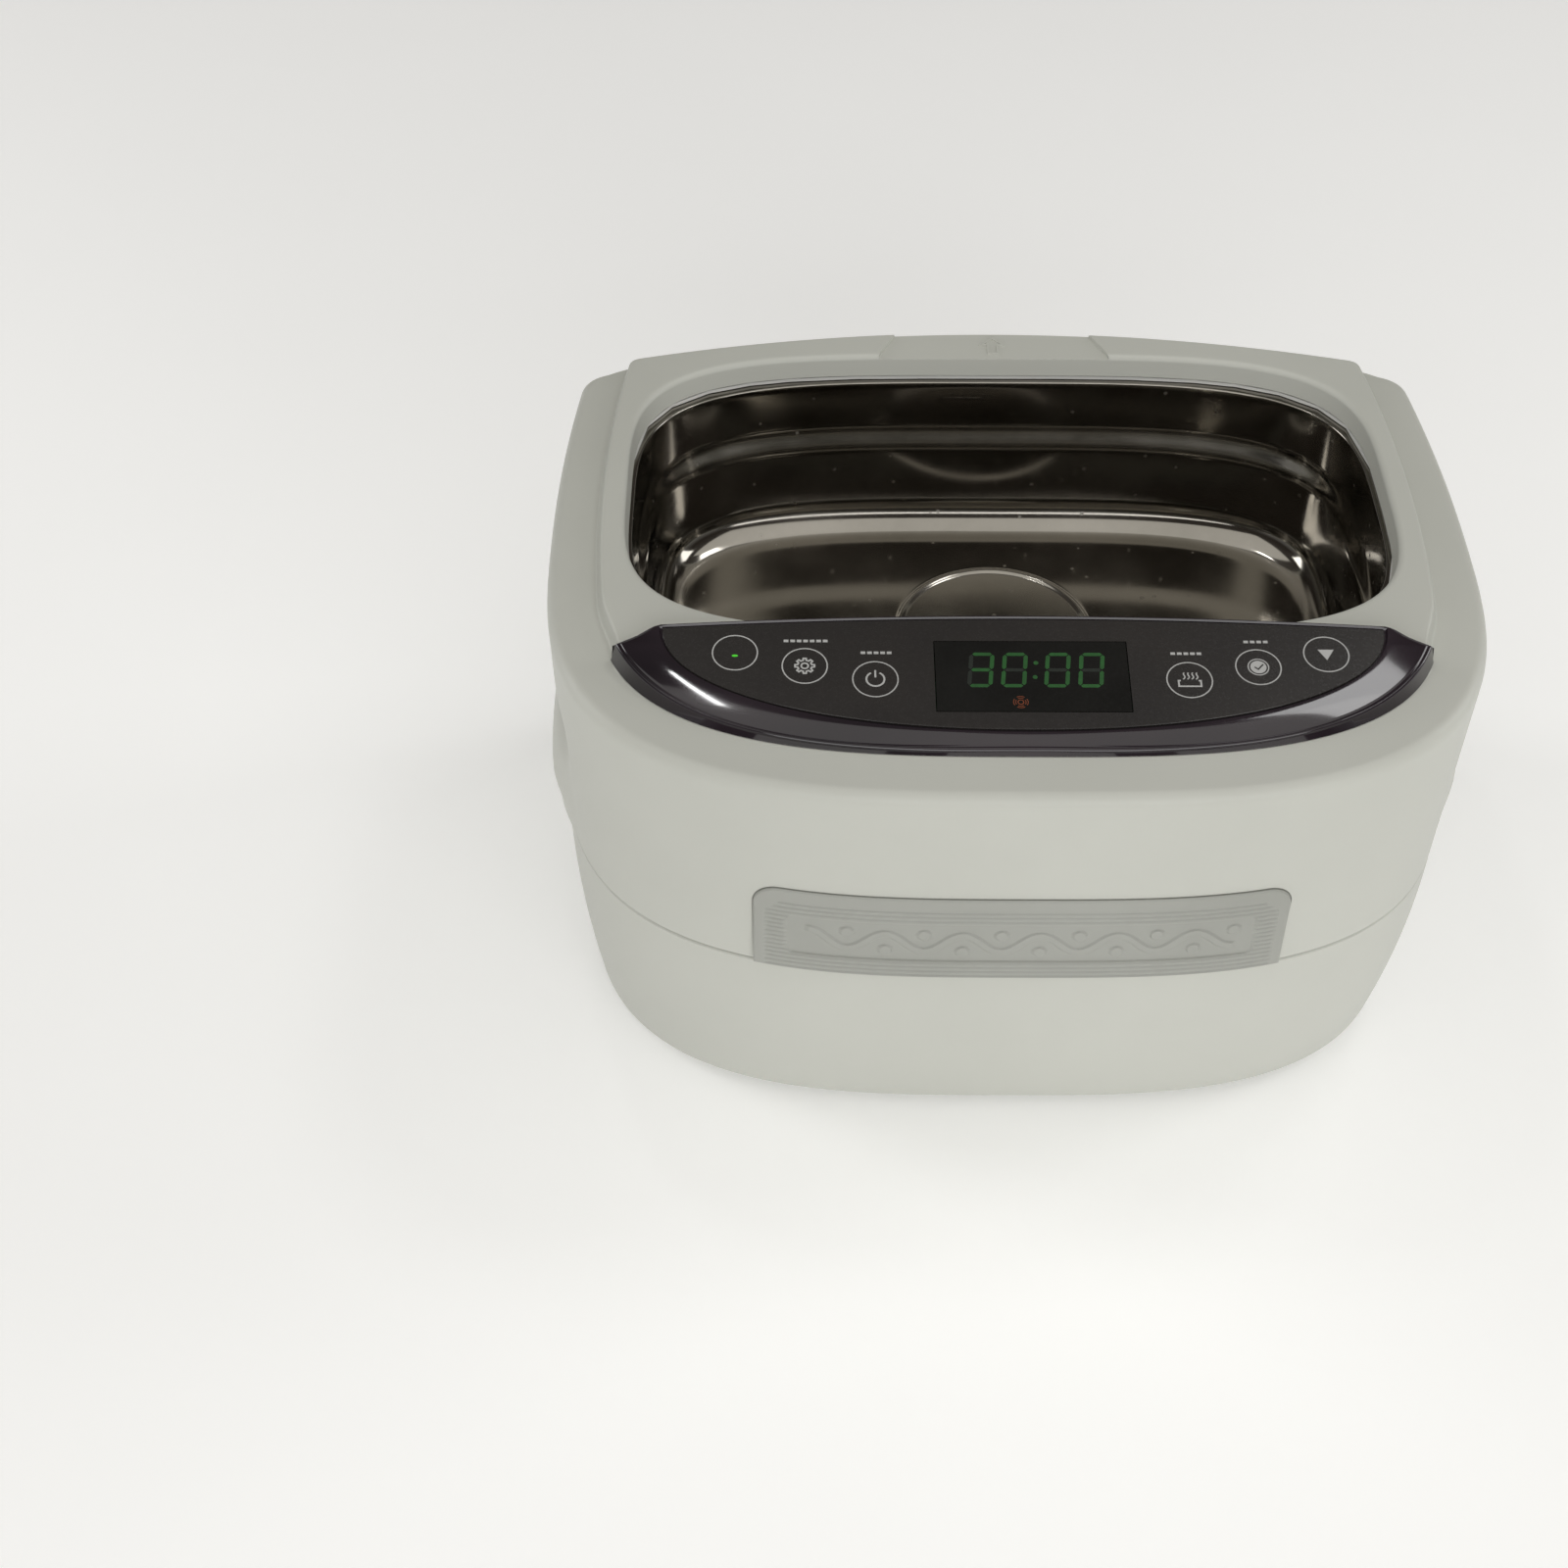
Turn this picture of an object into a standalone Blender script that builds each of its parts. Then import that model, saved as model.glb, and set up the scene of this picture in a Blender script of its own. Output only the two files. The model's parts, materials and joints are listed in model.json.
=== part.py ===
"""Bench-top ultrasonic cleaner with a stainless tank and a sloping touch panel.

Metres, +Z up. The origin is on the surface the feet stand on, midway across the width and
the depth. The user stands on the -Y side.
"""

import math

import bmesh
import bpy
import numpy as np
from mathutils import Matrix, Vector

OBJECT_NAME = "ultrasonic_cleaner"
GAP = 0.0003

# Whole body, measured at the rim of the upper housing.
BODY_HALF_WIDTH = 0.150
BODY_HALF_DEPTH = 0.11675
RIM_Z = 0.1592

# Upper housing: outer wall, and the raised frame round the opening.
WIDEST_Y = 0.00775
FRONT_REACH = BODY_HALF_DEPTH + WIDEST_Y
BACK_Y = BODY_HALF_DEPTH
FRONT_ROUNDNESS = 3.13
RIM_EDGE_RADIUS = 0.004
SIDE_NARROWING = 0.763
BACK_BOW = 1.05
BACK_CORNER_RADIUS = 0.007
WALL = 0.0025
FRAME_LEDGE = 0.0165
FRAME_HALF_WIDTH = BODY_HALF_WIDTH - FRAME_LEDGE
FRAME_WIDEST_Y = 0.0195
FRAME_NARROWING = 0.92
FRAME_RISE = 0.0054
FRAME_TOP_Z = RIM_Z + FRAME_RISE
FRAME_EDGE_RADIUS = 0.0012
FRAME_CORNER_RADIUS = 0.003
FRAME_DRAFT = 0.0012
BACK_FLUSH = 0.0020

# Control panel: a sloping bezel in front of the opening.
PANEL_LEDGE = 0.0170
PANEL_FRONT_LEDGE = 0.0178
PANEL_DEPTH = 0.0499
PANEL_HALF_WIDTH = BODY_HALF_WIDTH - PANEL_LEDGE
PANEL_FRONT_Y = PANEL_FRONT_LEDGE - BODY_HALF_DEPTH
PANEL_REACH = 0.0872
PANEL_CENTRE_Y = PANEL_FRONT_Y + PANEL_REACH
PANEL_ROUNDNESS = 3.07
PANEL_BACK_CORNER_Y = PANEL_FRONT_Y + PANEL_DEPTH
PANEL_TIP_Y = PANEL_BACK_CORNER_Y - 0.0072
PANEL_BACK_HALF_WIDTH = PANEL_HALF_WIDTH - 0.0205
PANEL_BACK_BOW = 0.0038
PANEL_FRONT_RISE = 0.00258
PANEL_SLOPE = 0.1488
PANEL_STEPS = 26
PANEL_CAP = 0.0022
PANEL_SKIRT = 0.0025
PANEL_DRAFT = 0.0012
PANEL_CHAMFER = 0.0008

# Touch overlay let into the bezel, with the window and the pads' places on it.
OVERLAY_SIDE_MARGIN = 0.0015
OVERLAY_BACK_MARGIN = 0.00275
OVERLAY_HALF_WIDTH = PANEL_BACK_HALF_WIDTH - OVERLAY_SIDE_MARGIN
OVERLAY_BACK_Y = PANEL_BACK_CORNER_Y - OVERLAY_BACK_MARGIN
OVERLAY_REACH = 0.0389
OVERLAY_ROUNDNESS = 2.15
OVERLAY_THICKNESS = 0.0010
WINDOW_HALF_WIDTH = 0.0293
WINDOW_DEPTH = 0.0270
WINDOW_BACK_Y = OVERLAY_BACK_Y - 0.0052
WINDOW_FRONT_Y = WINDOW_BACK_Y - WINDOW_DEPTH
PADS_A_SIDE = 3
PAD_END_MARGIN = 0.0207
PAD_WINDOW_MARGIN = 0.0183
PAD_BACK_MARGIN = 0.0098
PAD_ROW_SLANT = 0.239

# Board, digit block and touch springs under the overlay.
BOARD_MARGIN = 0.0050
BOARD_DROP = 0.0095
BOARD_THICKNESS = 0.0016
DECK_WINDOW_CLEARANCE = 0.0015
DISPLAY_SIZE = (0.050, 0.020)
TOUCH_SPRING_RADIUS = 0.0035

# Opening over the tank, between the panel and the frame's back land.
OPENING_SIDE_LAND = 0.0078
OPENING_BACK_LAND = 0.0171
OPENING_FRONT_LAND = 0.0023
OPENING_HALF_WIDTH = FRAME_HALF_WIDTH - OPENING_SIDE_LAND
OPENING_BACK_Y = BACK_Y - OPENING_BACK_LAND
OPENING_FRONT_Y = PANEL_BACK_CORNER_Y + OPENING_FRONT_LAND
OPENING_HALF_DEPTH = 0.5 * (OPENING_BACK_Y - OPENING_FRONT_Y)
OPENING_Y = 0.5 * (OPENING_BACK_Y + OPENING_FRONT_Y)
OPENING_ROUNDNESS = 3.9
OPENING_EDGE_RADIUS = 0.002
OPENING_LIP_DRAFT = 0.0008
OPENING_LIP_DEPTH = 0.0081
OPENING_LIP_Z = FRAME_TOP_Z - OPENING_LIP_DEPTH
CHANNEL_BACK_HALF_WIDTH = 0.0335
CHANNEL_FRONT_HALF_WIDTH = 0.0410
CHANNEL_DEPTH = 0.0013

# Seam between the two housings, and the foot of the lower one.
SEAM_Z = 0.0788
SEAM_GAP = 0.0004
SEAM_INSET = 0.0022
SEAM_BACK_INSET = 0.0012
BASE_Z = 0.0040
BASE_SIDE_INSET = 0.0086
BASE_FRONT_INSET = 0.0130
BASE_BACK_INSET = 0.0052
BASE_TAPER_POWER = 1.9
BASE_EDGE_RADIUS = 0.004
TONGUE_HEIGHT = 0.003
TONGUE_WALL = 0.0012

# Hand grips moulded into both sides: a lip above the seam and a scoop over it.
GRIP_Y = -0.006
GRIP_HALF_LENGTH = 0.052
GRIP_FADE = 0.030
GRIP_LIP_PROUD = 0.0040
GRIP_LIP_Z = SEAM_Z + 0.0132
GRIP_LIP_HALF_HEIGHT = 0.020
GRIP_LIP_FOOT = 0.6
GRIP_SCOOP_DEPTH = 0.0070
GRIP_SCOOP_Z = SEAM_Z + 0.0392
GRIP_SCOOP_HALF_HEIGHT = 0.015
GRIP_LEVELS = [GRIP_SCOOP_Z + step for step in (-0.034, -0.026, -0.016, -0.008, 0.0, 0.008, 0.016)]

# Name plate on the front wall.
PLATE_HALF_WIDTH = 0.0830
PLATE_TOP_Z = SEAM_Z + 0.0362
PLATE_CORNER_RADIUS = 0.008
PLATE_THICKNESS = 0.0016
PLATE_RECESS = 0.0008
PLATE_STEPS = 24

# Stainless tank, hung by its flange under the opening's lip on a gasket.
GASKET_WIDTH = 0.0024
GASKET_THICKNESS = 0.0012
TANK_WALL = 0.0010
TANK_FLANGE_Z = OPENING_LIP_Z - GASKET_THICKNESS - 2 * GAP
TANK_FLANGE_WIDTH = 0.0030
TANK_INSET = 0.0018
TANK_STEP_Z = TANK_FLANGE_Z - 0.0227
TANK_STEP = 0.0030
TANK_DRAFT = 0.0012
TANK_DEPTH = 0.0587
TANK_FLOOR_Z = TANK_FLANGE_Z - TANK_DEPTH
TANK_FILLET = 0.0110
TANK_FLOOR_INSET = TANK_INSET + TANK_DRAFT + TANK_STEP + TANK_FILLET
TANK_ROUNDNESS = 3.6
RING_RADIUS = 0.0346
RING_WIDTH = 0.0040
RING_HEIGHT = 0.0007

# Transducer, under the middle of the stamped ring.
TRANSDUCER_Y = OPENING_Y + 0.00455
HORN_RADIUS = 0.0240
HORN_WAIST = 0.0195
HORN_HEIGHT = 0.0220
PIEZO_RADIUS = 0.0190
PIEZO_BORE = 0.0075
PIEZO_THICKNESS = 0.0050
ELECTRODE_THICKNESS = 0.0006
ELECTRODE_TAG = 0.0070
BACK_MASS_HEIGHT = 0.0140
BOLT_RADIUS = 0.0045
BOLT_HEAD_RADIUS = 0.0080
BOLT_HEAD_HEIGHT = 0.0060

# Heaters and thermal cut-out stuck under the tank, clear of the transducer.
HEATER_INNER_X = HORN_RADIUS + 0.0170
HEATER_OUTER_X = OPENING_HALF_WIDTH - TANK_FLOOR_INSET - 0.0177
HEATER_LENGTH = 0.0800
HEATER_THICKNESS = 0.0020
CUTOUT_RADIUS = 0.0080
CUTOUT_HEIGHT = 0.0060
CUTOUT_Y = TRANSDUCER_Y - HORN_RADIUS - CUTOUT_RADIUS - 0.0130
LEAD_RADIUS = 0.0010

# Base tray: case screws, feet, main board.
FLOOR_THICKNESS = 0.0025
FRONT_BOSS = (BODY_HALF_WIDTH - 0.0440, 0.04875 - BODY_HALF_DEPTH)
BACK_BOSS_TURN = math.radians(37.654)
BACK_BOSS_CLEARANCE = 0.00127
BOSS_RADIUS = 0.0048
BOSS_TOP_Z = SEAM_Z - 0.0048
SCREW_RADIUS = 0.0014
SCREW_BORE = 0.0025
SCREW_PILOT = 0.0018
SCREW_HEAD_RADIUS = 0.0034
SCREW_HEAD_HEIGHT = 0.0025
SCREW_SEAT = 0.0040
SCREW_REACH = 0.0120
COUNTERBORE = SCREW_HEAD_RADIUS + 0.0004
FOOT_RADIUS = 0.0095
FOOT_STEM_RADIUS = 0.0030
FOOT_STEM_TOP_Z = 0.0095
FRONT_FOOT = (BODY_HALF_WIDTH - 0.0600, 0.05475 - BODY_HALF_DEPTH)
BACK_FOOT = (BODY_HALF_WIDTH - 0.0500, BACK_Y - 0.05275)
BOARD_SIZE = (0.118, 0.096, 0.0016)
BOARD_CENTRE = (0.0350, 0.0100)
BOARD_Z = 0.0160
BOARD_TOP_Z = BOARD_Z + BOARD_SIZE[2]
POST_RADIUS = 0.0035
POST_MARGIN = 0.0060

# Cooling fan beside the board, lying on the floor over its grille.
FAN_SIDE = 0.0600
FAN_BOARD_CLEARANCE = 0.0240
FAN_CENTRE = (BOARD_CENTRE[0] - 0.5 * BOARD_SIZE[0] - FAN_BOARD_CLEARANCE - 0.5 * FAN_SIDE, 0.0080)
FAN_HEIGHT = 0.0150
FAN_BORE = 0.5 * FAN_SIDE - 0.0015
FAN_PLATE = 0.0020
FAN_HUB = 0.0130
FAN_BLADES = 7
FAN_BLADE_TIP = FAN_BORE - 0.0013
FAN_BLADE_HALF_ANGLE = 0.16
FAN_TWIST = math.radians(32)
FAN_PIN_RADIUS = 0.0020
FAN_PIN_CLEARANCE = 0.0004
FAN_SCREW_PITCH = FAN_SIDE - 0.0100
FAN_SCREW_RADIUS = 0.0020
FAN_SCREW_HEAD = 0.0034
FAN_SPOKES = 4
FAN_SPOKE_ANGLE = math.radians(16)
GRILLE_SLOTS = 7
GRILLE_PITCH = 2 * FAN_BORE / (GRILLE_SLOTS + 0.3)
GRILLE_SLOT_WIDTH = 0.0036

# Mains inlet at the back.
INLET_X = 0.0620
INLET_Z = 0.0420
INLET_WELL = (0.0236, 0.0160, 0.0170)
INLET_BODY = (INLET_WELL[0] + 0.0034, INLET_WELL[1] + 0.0040, INLET_WELL[2] + 0.0050)
INLET_FLANGE = (INLET_BODY[0] + 0.0040, INLET_BODY[1] + 0.0050, 0.0030)
INLET_PIN = (0.0020, 0.0040, 0.0155)
INLET_PIN_STAND = 0.0110
INLET_PIN_PITCH = 0.0070
INLET_PIN_DROP = 0.0020
INLET_PROUD = 0.0006

ROUND_STEPS = 20

# Reach of a cutter past the face that it goes through.
THROUGH = 0.010

COLORS = {
    "housing_plastic": ((0.60, 0.60, 0.54), 0.45, 0.0),
    "nameplate_plastic": ((0.42, 0.42, 0.39), 0.50, 0.0),
    "bezel_acrylic": ((0.012, 0.009, 0.012), 0.08, 0.0),
    "overlay_film": ((0.018, 0.014, 0.013), 0.15, 0.0),
    "window_lens": ((0.010, 0.010, 0.009), 0.10, 0.0),
    "display_led": ((0.03, 0.25, 0.03), 0.40, 0.0),
    "stainless_steel": ((0.55, 0.55, 0.53), 0.16, 1.0),
    "silicone": ((0.75, 0.75, 0.72), 0.60, 0.0),
    "aluminium": ((0.70, 0.70, 0.70), 0.35, 1.0),
    "plated_steel": ((0.50, 0.50, 0.50), 0.35, 1.0),
    "piezo_ceramic": ((0.30, 0.28, 0.24), 0.70, 0.0),
    "brass": ((0.60, 0.42, 0.16), 0.30, 1.0),
    "circuit_board": ((0.02, 0.16, 0.06), 0.50, 0.0),
    "heater_mat": ((0.50, 0.10, 0.03), 0.70, 0.0),
    "black_plastic": ((0.02, 0.02, 0.02), 0.50, 0.0),
    "capacitor_sleeve": ((0.03, 0.03, 0.10), 0.35, 0.0),
    "rubber": ((0.03, 0.03, 0.03), 0.90, 0.0),
    "fuse_glass": ((0.80, 0.85, 0.85), 0.05, 0.0),
    "wire_insulation": ((0.35, 0.03, 0.02), 0.45, 0.0),
    "ribbon_cable": ((0.45, 0.45, 0.45), 0.55, 0.0),
}


# ---------------------------------------------------------------- scene helpers


def clear_scene():
    for obj in list(bpy.data.objects):
        bpy.data.objects.remove(obj, do_unlink=True)


def make_collection(name):
    collection = bpy.data.collections.new(name)
    bpy.context.scene.collection.children.link(collection)
    return collection


def make_materials():
    for name, (colour, roughness, metallic) in COLORS.items():
        material = bpy.data.materials.new(name)
        material.use_nodes = True
        shader = material.node_tree.nodes["Principled BSDF"]
        shader.inputs["Base Color"].default_value = (*colour, 1.0)
        shader.inputs["Roughness"].default_value = roughness
        shader.inputs["Metallic"].default_value = metallic


def add_object(name, mesh, material=None, smooth_angle=math.radians(35)):
    """Puts a mesh in the scene: a part when it has a material, a hidden cutter when not."""
    obj = bpy.data.objects.new(name, mesh)
    if material:
        PARTS.objects.link(obj)
        mesh.materials.append(bpy.data.materials[material])
        mesh.shade_smooth()
        mesh.set_sharp_from_angle(angle=smooth_angle)
    else:
        CUTTERS.objects.link(obj)
        obj.hide_render = True
        obj.display_type = "WIRE"
    return obj


def mesh_from(bm, name):
    bmesh.ops.recalc_face_normals(bm, faces=bm.faces)
    mesh = bpy.data.meshes.new(name)
    bm.to_mesh(mesh)
    bm.free()
    return mesh


def loft(name, rings, material=None, closed=False):
    """Joins rings of equally many points; closed runs the last one back to the first."""
    bm = bmesh.new()
    rows = [[bm.verts.new(point) for point in ring] for ring in rings]
    pairs = list(zip(rows, rows[1:]))
    if closed:
        pairs.append((rows[-1], rows[0]))
    else:
        bm.faces.new(rows[0])
        bm.faces.new(rows[-1])
    for low, high in pairs:
        for i in range(len(low)):
            j = (i + 1) % len(low)
            bm.faces.new((low[i], low[j], high[j], high[i]))
    return add_object(name, mesh_from(bm, name), material)


def box(name, centre, size, material=None, frame=None, bevel=0.0):
    bm = bmesh.new()
    bmesh.ops.create_cube(bm, size=1.0)
    bmesh.ops.scale(bm, vec=size, verts=bm.verts)
    obj = add_object(name, mesh_from(bm, name), material)
    obj.matrix_world = (frame or Matrix()) @ Matrix.Translation(centre)
    if bevel:
        modifier = obj.modifiers.new("edges", "BEVEL")
        modifier.width = bevel
        modifier.segments = 2
    return obj


def cylinder(name, centre, radius, depth, material=None, frame=None, steps=ROUND_STEPS, turn=None):
    """A round bar along Z, centred on its place, or turned by a matrix."""
    bm = bmesh.new()
    bmesh.ops.create_cone(
        bm, cap_ends=True, segments=steps, radius1=radius, radius2=radius, depth=depth
    )
    obj = add_object(name, mesh_from(bm, name), material)
    obj.matrix_world = (frame or Matrix()) @ Matrix.Translation(centre) @ (turn or Matrix())
    return obj


def turned(name, profile, place, material, steps=ROUND_STEPS):
    """Spins (radius, z) points round Z; a profile that is off the axis closes on itself."""
    bm = bmesh.new()
    verts = [bm.verts.new((radius, 0.0, z)) for radius, z in profile]
    for first, second in zip(verts, verts[1:]):
        bm.edges.new((first, second))
    if profile[0][0] > 0:
        bm.edges.new((verts[-1], verts[0]))
    mesh = bpy.data.meshes.new(name)
    bm.to_mesh(mesh)
    bm.free()
    obj = add_object(name, mesh, material)
    obj.location = place
    screw = obj.modifiers.new("turn", "SCREW")
    screw.steps = steps
    screw.render_steps = steps
    screw.use_merge_vertices = True
    screw.merge_threshold = 0.00001
    screw.use_smooth_shade = True
    return obj


def prism(name, outline, low_z, high_z, material=None):
    """Extrudes a flat outline up from low_z to high_z; either may be a function of (x, y)."""

    def height(level, x, y):
        return level(x, y) if callable(level) else level

    rings = [[(x, y, height(level, x, y)) for x, y in outline] for level in (low_z, high_z)]
    return loft(name, rings, material)


def combine(obj, other, operation="DIFFERENCE", solver="EXACT"):
    modifier = obj.modifiers.new(other.name, "BOOLEAN")
    modifier.operation = operation
    modifier.solver = solver
    modifier.object = other
    return obj


def tube(name, points, radius, material):
    """A lead along a smooth curve through its route points."""
    route = smooth_route(points)
    curve = bpy.data.curves.new(name, "CURVE")
    curve.dimensions = "3D"
    curve.bevel_depth = radius
    curve.bevel_resolution = 1
    curve.use_fill_caps = True
    spline = curve.splines.new("POLY")
    spline.points.add(len(route) - 1)
    for point, place in zip(spline.points, route):
        point.co = (*place, 1.0)
    curve.materials.append(bpy.data.materials[material])
    obj = bpy.data.objects.new(name, curve)
    PARTS.objects.link(obj)
    return obj


def smooth_route(points, per_span=5):
    """Catmull-Rom curve through the points."""
    knots = [Vector(point) for point in points]
    knots = [2 * knots[0] - knots[1], *knots, 2 * knots[-1] - knots[-2]]
    route = []
    for a, b, c, d in zip(knots, knots[1:], knots[2:], knots[3:]):
        for step in range(per_span):
            t = step / per_span
            route.append(
                0.5 * (2 * b + (c - a) * t + (2 * a - 5 * b + 4 * c - d) * t**2
                       + (3 * b - a - 3 * c + d) * t**3)
            )
    return [*route, knots[-2]]


def smooth_step(value):
    value = min(max(value, 0.0), 1.0)
    return value * value * (3 - 2 * value)


# ---------------------------------------------------------------- outlines


def stations():
    """Directions round the opening's centre, closer together where the outlines turn."""
    spans = ((-90, -64, 4), (-64, -16, 9), (-16, 20, 7), (20, 48, 9), (48, 90, 5))
    half = [math.radians(start + (stop - start) * i / count)
            for start, stop, count in spans for i in range(count)]
    right = [*half, math.radians(90)]
    left = [math.pi - angle for angle in reversed(right[1:-1])]
    return [*right, *left]


def at_stations(outline, angles=None):
    """Points of a dense closed outline in each station's direction."""
    points = np.array(outline)
    turn = np.arctan2(points[:, 1] - OPENING_Y, points[:, 0])
    reach = np.hypot(points[:, 0], points[:, 1] - OPENING_Y)
    angles = np.array(STATIONS if angles is None else angles)
    found = np.interp(angles, *ordered(turn, reach), period=2 * math.pi)
    return [(r * math.cos(a), OPENING_Y + r * math.sin(a)) for r, a in zip(found, angles)]


def ordered(turn, reach):
    order = np.argsort(turn)
    return turn[order], reach[order]


def mirrored(right):
    """Closes a right half, front centre to back centre, with its mirror image."""
    return [*right, *[(-x, y) for x, y in reversed(right[1:-1])]]


def superellipse_quarter(half_width, reach, centre_y, roundness, count=90):
    """From the front centre round to the widest point."""
    quarter = []
    for i in range(count + 1):
        angle = 0.5 * math.pi * i / count
        x = half_width * math.sin(angle) ** (2 / roundness)
        y = centre_y - reach * math.cos(angle) ** (2 / roundness)
        quarter.append((x, y))
    return quarter


def with_back(front, side, back_y, corner_radius):
    """Adds a curved side, a rounded back corner and the bowed back to a front quarter."""

    def back(x):
        return back_y - BACK_BOW * x * x

    start = front[-1][1]
    corner = max(y for y in np.linspace(start, back_y, 2000) if y <= back(side(y)))
    along_side = np.linspace(start, corner - corner_radius, 40)[1:]
    corner_x = side(corner)
    along_back = np.linspace(corner_x - corner_radius, 0.0, 60)
    first = Vector((side(along_side[-1]), along_side[-1]))
    last = Vector((along_back[0], back(along_back[0])))
    tip = Vector((corner_x, corner))
    bend = []
    for i in range(1, 10):
        t = i / 10
        bend.append(tuple((1 - t) ** 2 * first + 2 * t * (1 - t) * tip + t * t * last))
    return mirrored([*front, *[(side(y), y) for y in along_side], *bend,
                     *[(x, back(x)) for x in along_back]])


def body_outline(side_inset, front_inset, back_inset, roundness=FRONT_ROUNDNESS):
    half_width = BODY_HALF_WIDTH - side_inset

    def side(y):
        return half_width - SIDE_NARROWING * (y - WIDEST_Y) ** 2

    front = superellipse_quarter(half_width, FRONT_REACH - front_inset, WIDEST_Y, roundness)
    return with_back(front, side, BACK_Y - back_inset, BACK_CORNER_RADIUS)


def frame_outline(inset=0.0):
    """The raised frame: panel skirt in front, its own sides, flush with the housing's back."""
    half_width = FRAME_HALF_WIDTH - inset

    def side(y):
        return half_width - FRAME_NARROWING * (y - FRAME_WIDEST_Y) ** 2

    front = []
    inner = PANEL_SKIRT + inset
    for x, y in superellipse_quarter(PANEL_HALF_WIDTH - inner, PANEL_REACH - inner,
                                     PANEL_CENTRE_Y, PANEL_ROUNDNESS):
        blend = smooth_step((y - PANEL_TIP_Y + 0.008) / 0.006)
        if y < PANEL_TIP_Y + 0.004:
            front.append((x + blend * (side(y) - x), y))
    return with_back(front, side, BACK_Y - BACK_FLUSH - inset, FRAME_CORNER_RADIUS)


def opening_outline(grow=0.0, roundness=OPENING_ROUNDNESS, count=360):
    points = []
    for i in range(count):
        angle = 2 * math.pi * i / count
        c, s = math.cos(angle), math.sin(angle)
        x = (OPENING_HALF_WIDTH + grow) * math.copysign(abs(c) ** (2 / roundness), c)
        y = (OPENING_HALF_DEPTH + grow) * math.copysign(abs(s) ** (2 / roundness), s)
        points.append((x, OPENING_Y + y))
    return points


def circle_outline(radius, centre_y, count=180):
    return [(radius * math.cos(2 * math.pi * i / count),
             centre_y + radius * math.sin(2 * math.pi * i / count)) for i in range(count)]


def grown(outline, distance):
    """Moves an anticlockwise outline outwards along its own normals."""
    result = []
    for i, (x, y) in enumerate(outline):
        before = outline[i - 1]
        after = outline[(i + 1) % len(outline)]
        tangent = Vector((after[0] - before[0], after[1] - before[1])).normalized()
        result.append((x + distance * tangent.y, y - distance * tangent.x))
    return result


def panel_z(y):
    return RIM_Z + PANEL_FRONT_RISE + PANEL_SLOPE * (y - PANEL_FRONT_Y)


def deck_z(y):
    """Top of the housing's raised frame, which drops away under the sloping panel."""
    return min(FRAME_TOP_Z, panel_z(y) - PANEL_CAP)


def grip_offset(y, z):
    """How far the side wall stands out, or is scooped in, at the hand grips."""
    along = smooth_step((GRIP_HALF_LENGTH - abs(y - GRIP_Y)) / GRIP_FADE)
    lip = smooth_step(1 - abs(z - GRIP_LIP_Z) / GRIP_LIP_HALF_HEIGHT)
    if z < GRIP_LIP_Z:
        lip = max(lip, GRIP_LIP_FOOT)
    scoop = smooth_step(1 - abs(z - GRIP_SCOOP_Z) / GRIP_SCOOP_HALF_HEIGHT)
    return along * (GRIP_LIP_PROUD * lip - GRIP_SCOOP_DEPTH * scoop)


def wall_ring(z, inset=0.0):
    """The upper housing's wall at one height, with the grips."""
    share = (RIM_Z - RIM_EDGE_RADIUS - z) / (RIM_Z - RIM_EDGE_RADIUS - SEAM_Z)
    outline = body_outline(share * SEAM_INSET, share * SEAM_INSET, share * SEAM_BACK_INSET)
    ring = []
    for x, y in at_stations(grown(outline, -inset)):
        outward = math.copysign(1.0, x) if abs(x) > 0.1 else 0.0
        ring.append((x + outward * grip_offset(y, z), y, z))
    return ring


def base_ring(z, inset=0.0):
    """The lower housing's wall at one height; it draws in towards the base."""
    share = ((SEAM_Z - z) / (SEAM_Z - BASE_Z)) ** BASE_TAPER_POWER if z < SEAM_Z else 0.0
    outline = body_outline(
        SEAM_INSET + share * (BASE_SIDE_INSET - SEAM_INSET),
        SEAM_INSET + share * (BASE_FRONT_INSET - SEAM_INSET),
        SEAM_BACK_INSET + share * (BASE_BACK_INSET - SEAM_BACK_INSET),
    )
    return [(x, y, z) for x, y in at_stations(grown(outline, -inset))]


# ---------------------------------------------------------------- housings


def rim_rings():
    """Rounded outer edge and flat top of the rim, up to the foot of the raised frame."""
    outer = wall_ring(RIM_Z - RIM_EDGE_RADIUS)
    foot = at_stations(grown(frame_outline(), FRAME_DRAFT))
    rings = []
    for angle in (0, 45, 90):
        ring = []
        for (x, y, _), (fx, fy) in zip(outer, foot):
            inward = Vector((fx - x, fy - y))
            radius = min(RIM_EDGE_RADIUS, 0.45 * inward.length)
            step = inward.normalized() * radius * (1 - math.cos(math.radians(angle)))
            drop = radius * (1 - math.sin(math.radians(angle)))
            ring.append((x + step.x, y + step.y, RIM_Z - drop))
        rings.append(ring)
    return [*rings, [(x, y, RIM_Z) for x, y in foot]]


def frame_rings():
    """Side wall and top of the raised frame, then the rounded edge of the opening."""
    rings = []
    for inset, drop in ((0.0, FRAME_EDGE_RADIUS), (FRAME_EDGE_RADIUS, 0.0)):
        rings.append([(x, y, deck_z(y) - drop)
                      for x, y in at_stations(grown(frame_outline(), -inset))])
    edge = [(x, y, deck_z(y)) for x, y in at_stations(opening_outline(OPENING_EDGE_RADIUS))]
    rings.append(deck_ring(rings[-1], edge, 0.0))
    rings.append(edge)
    rings.append([(x, y, deck_z(y) - OPENING_EDGE_RADIUS)
                  for x, y in at_stations(opening_outline())])
    lip = at_stations(opening_outline(-OPENING_LIP_DRAFT))
    return [*rings, [(x, y, OPENING_LIP_Z) for x, y in lip]]


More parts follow.
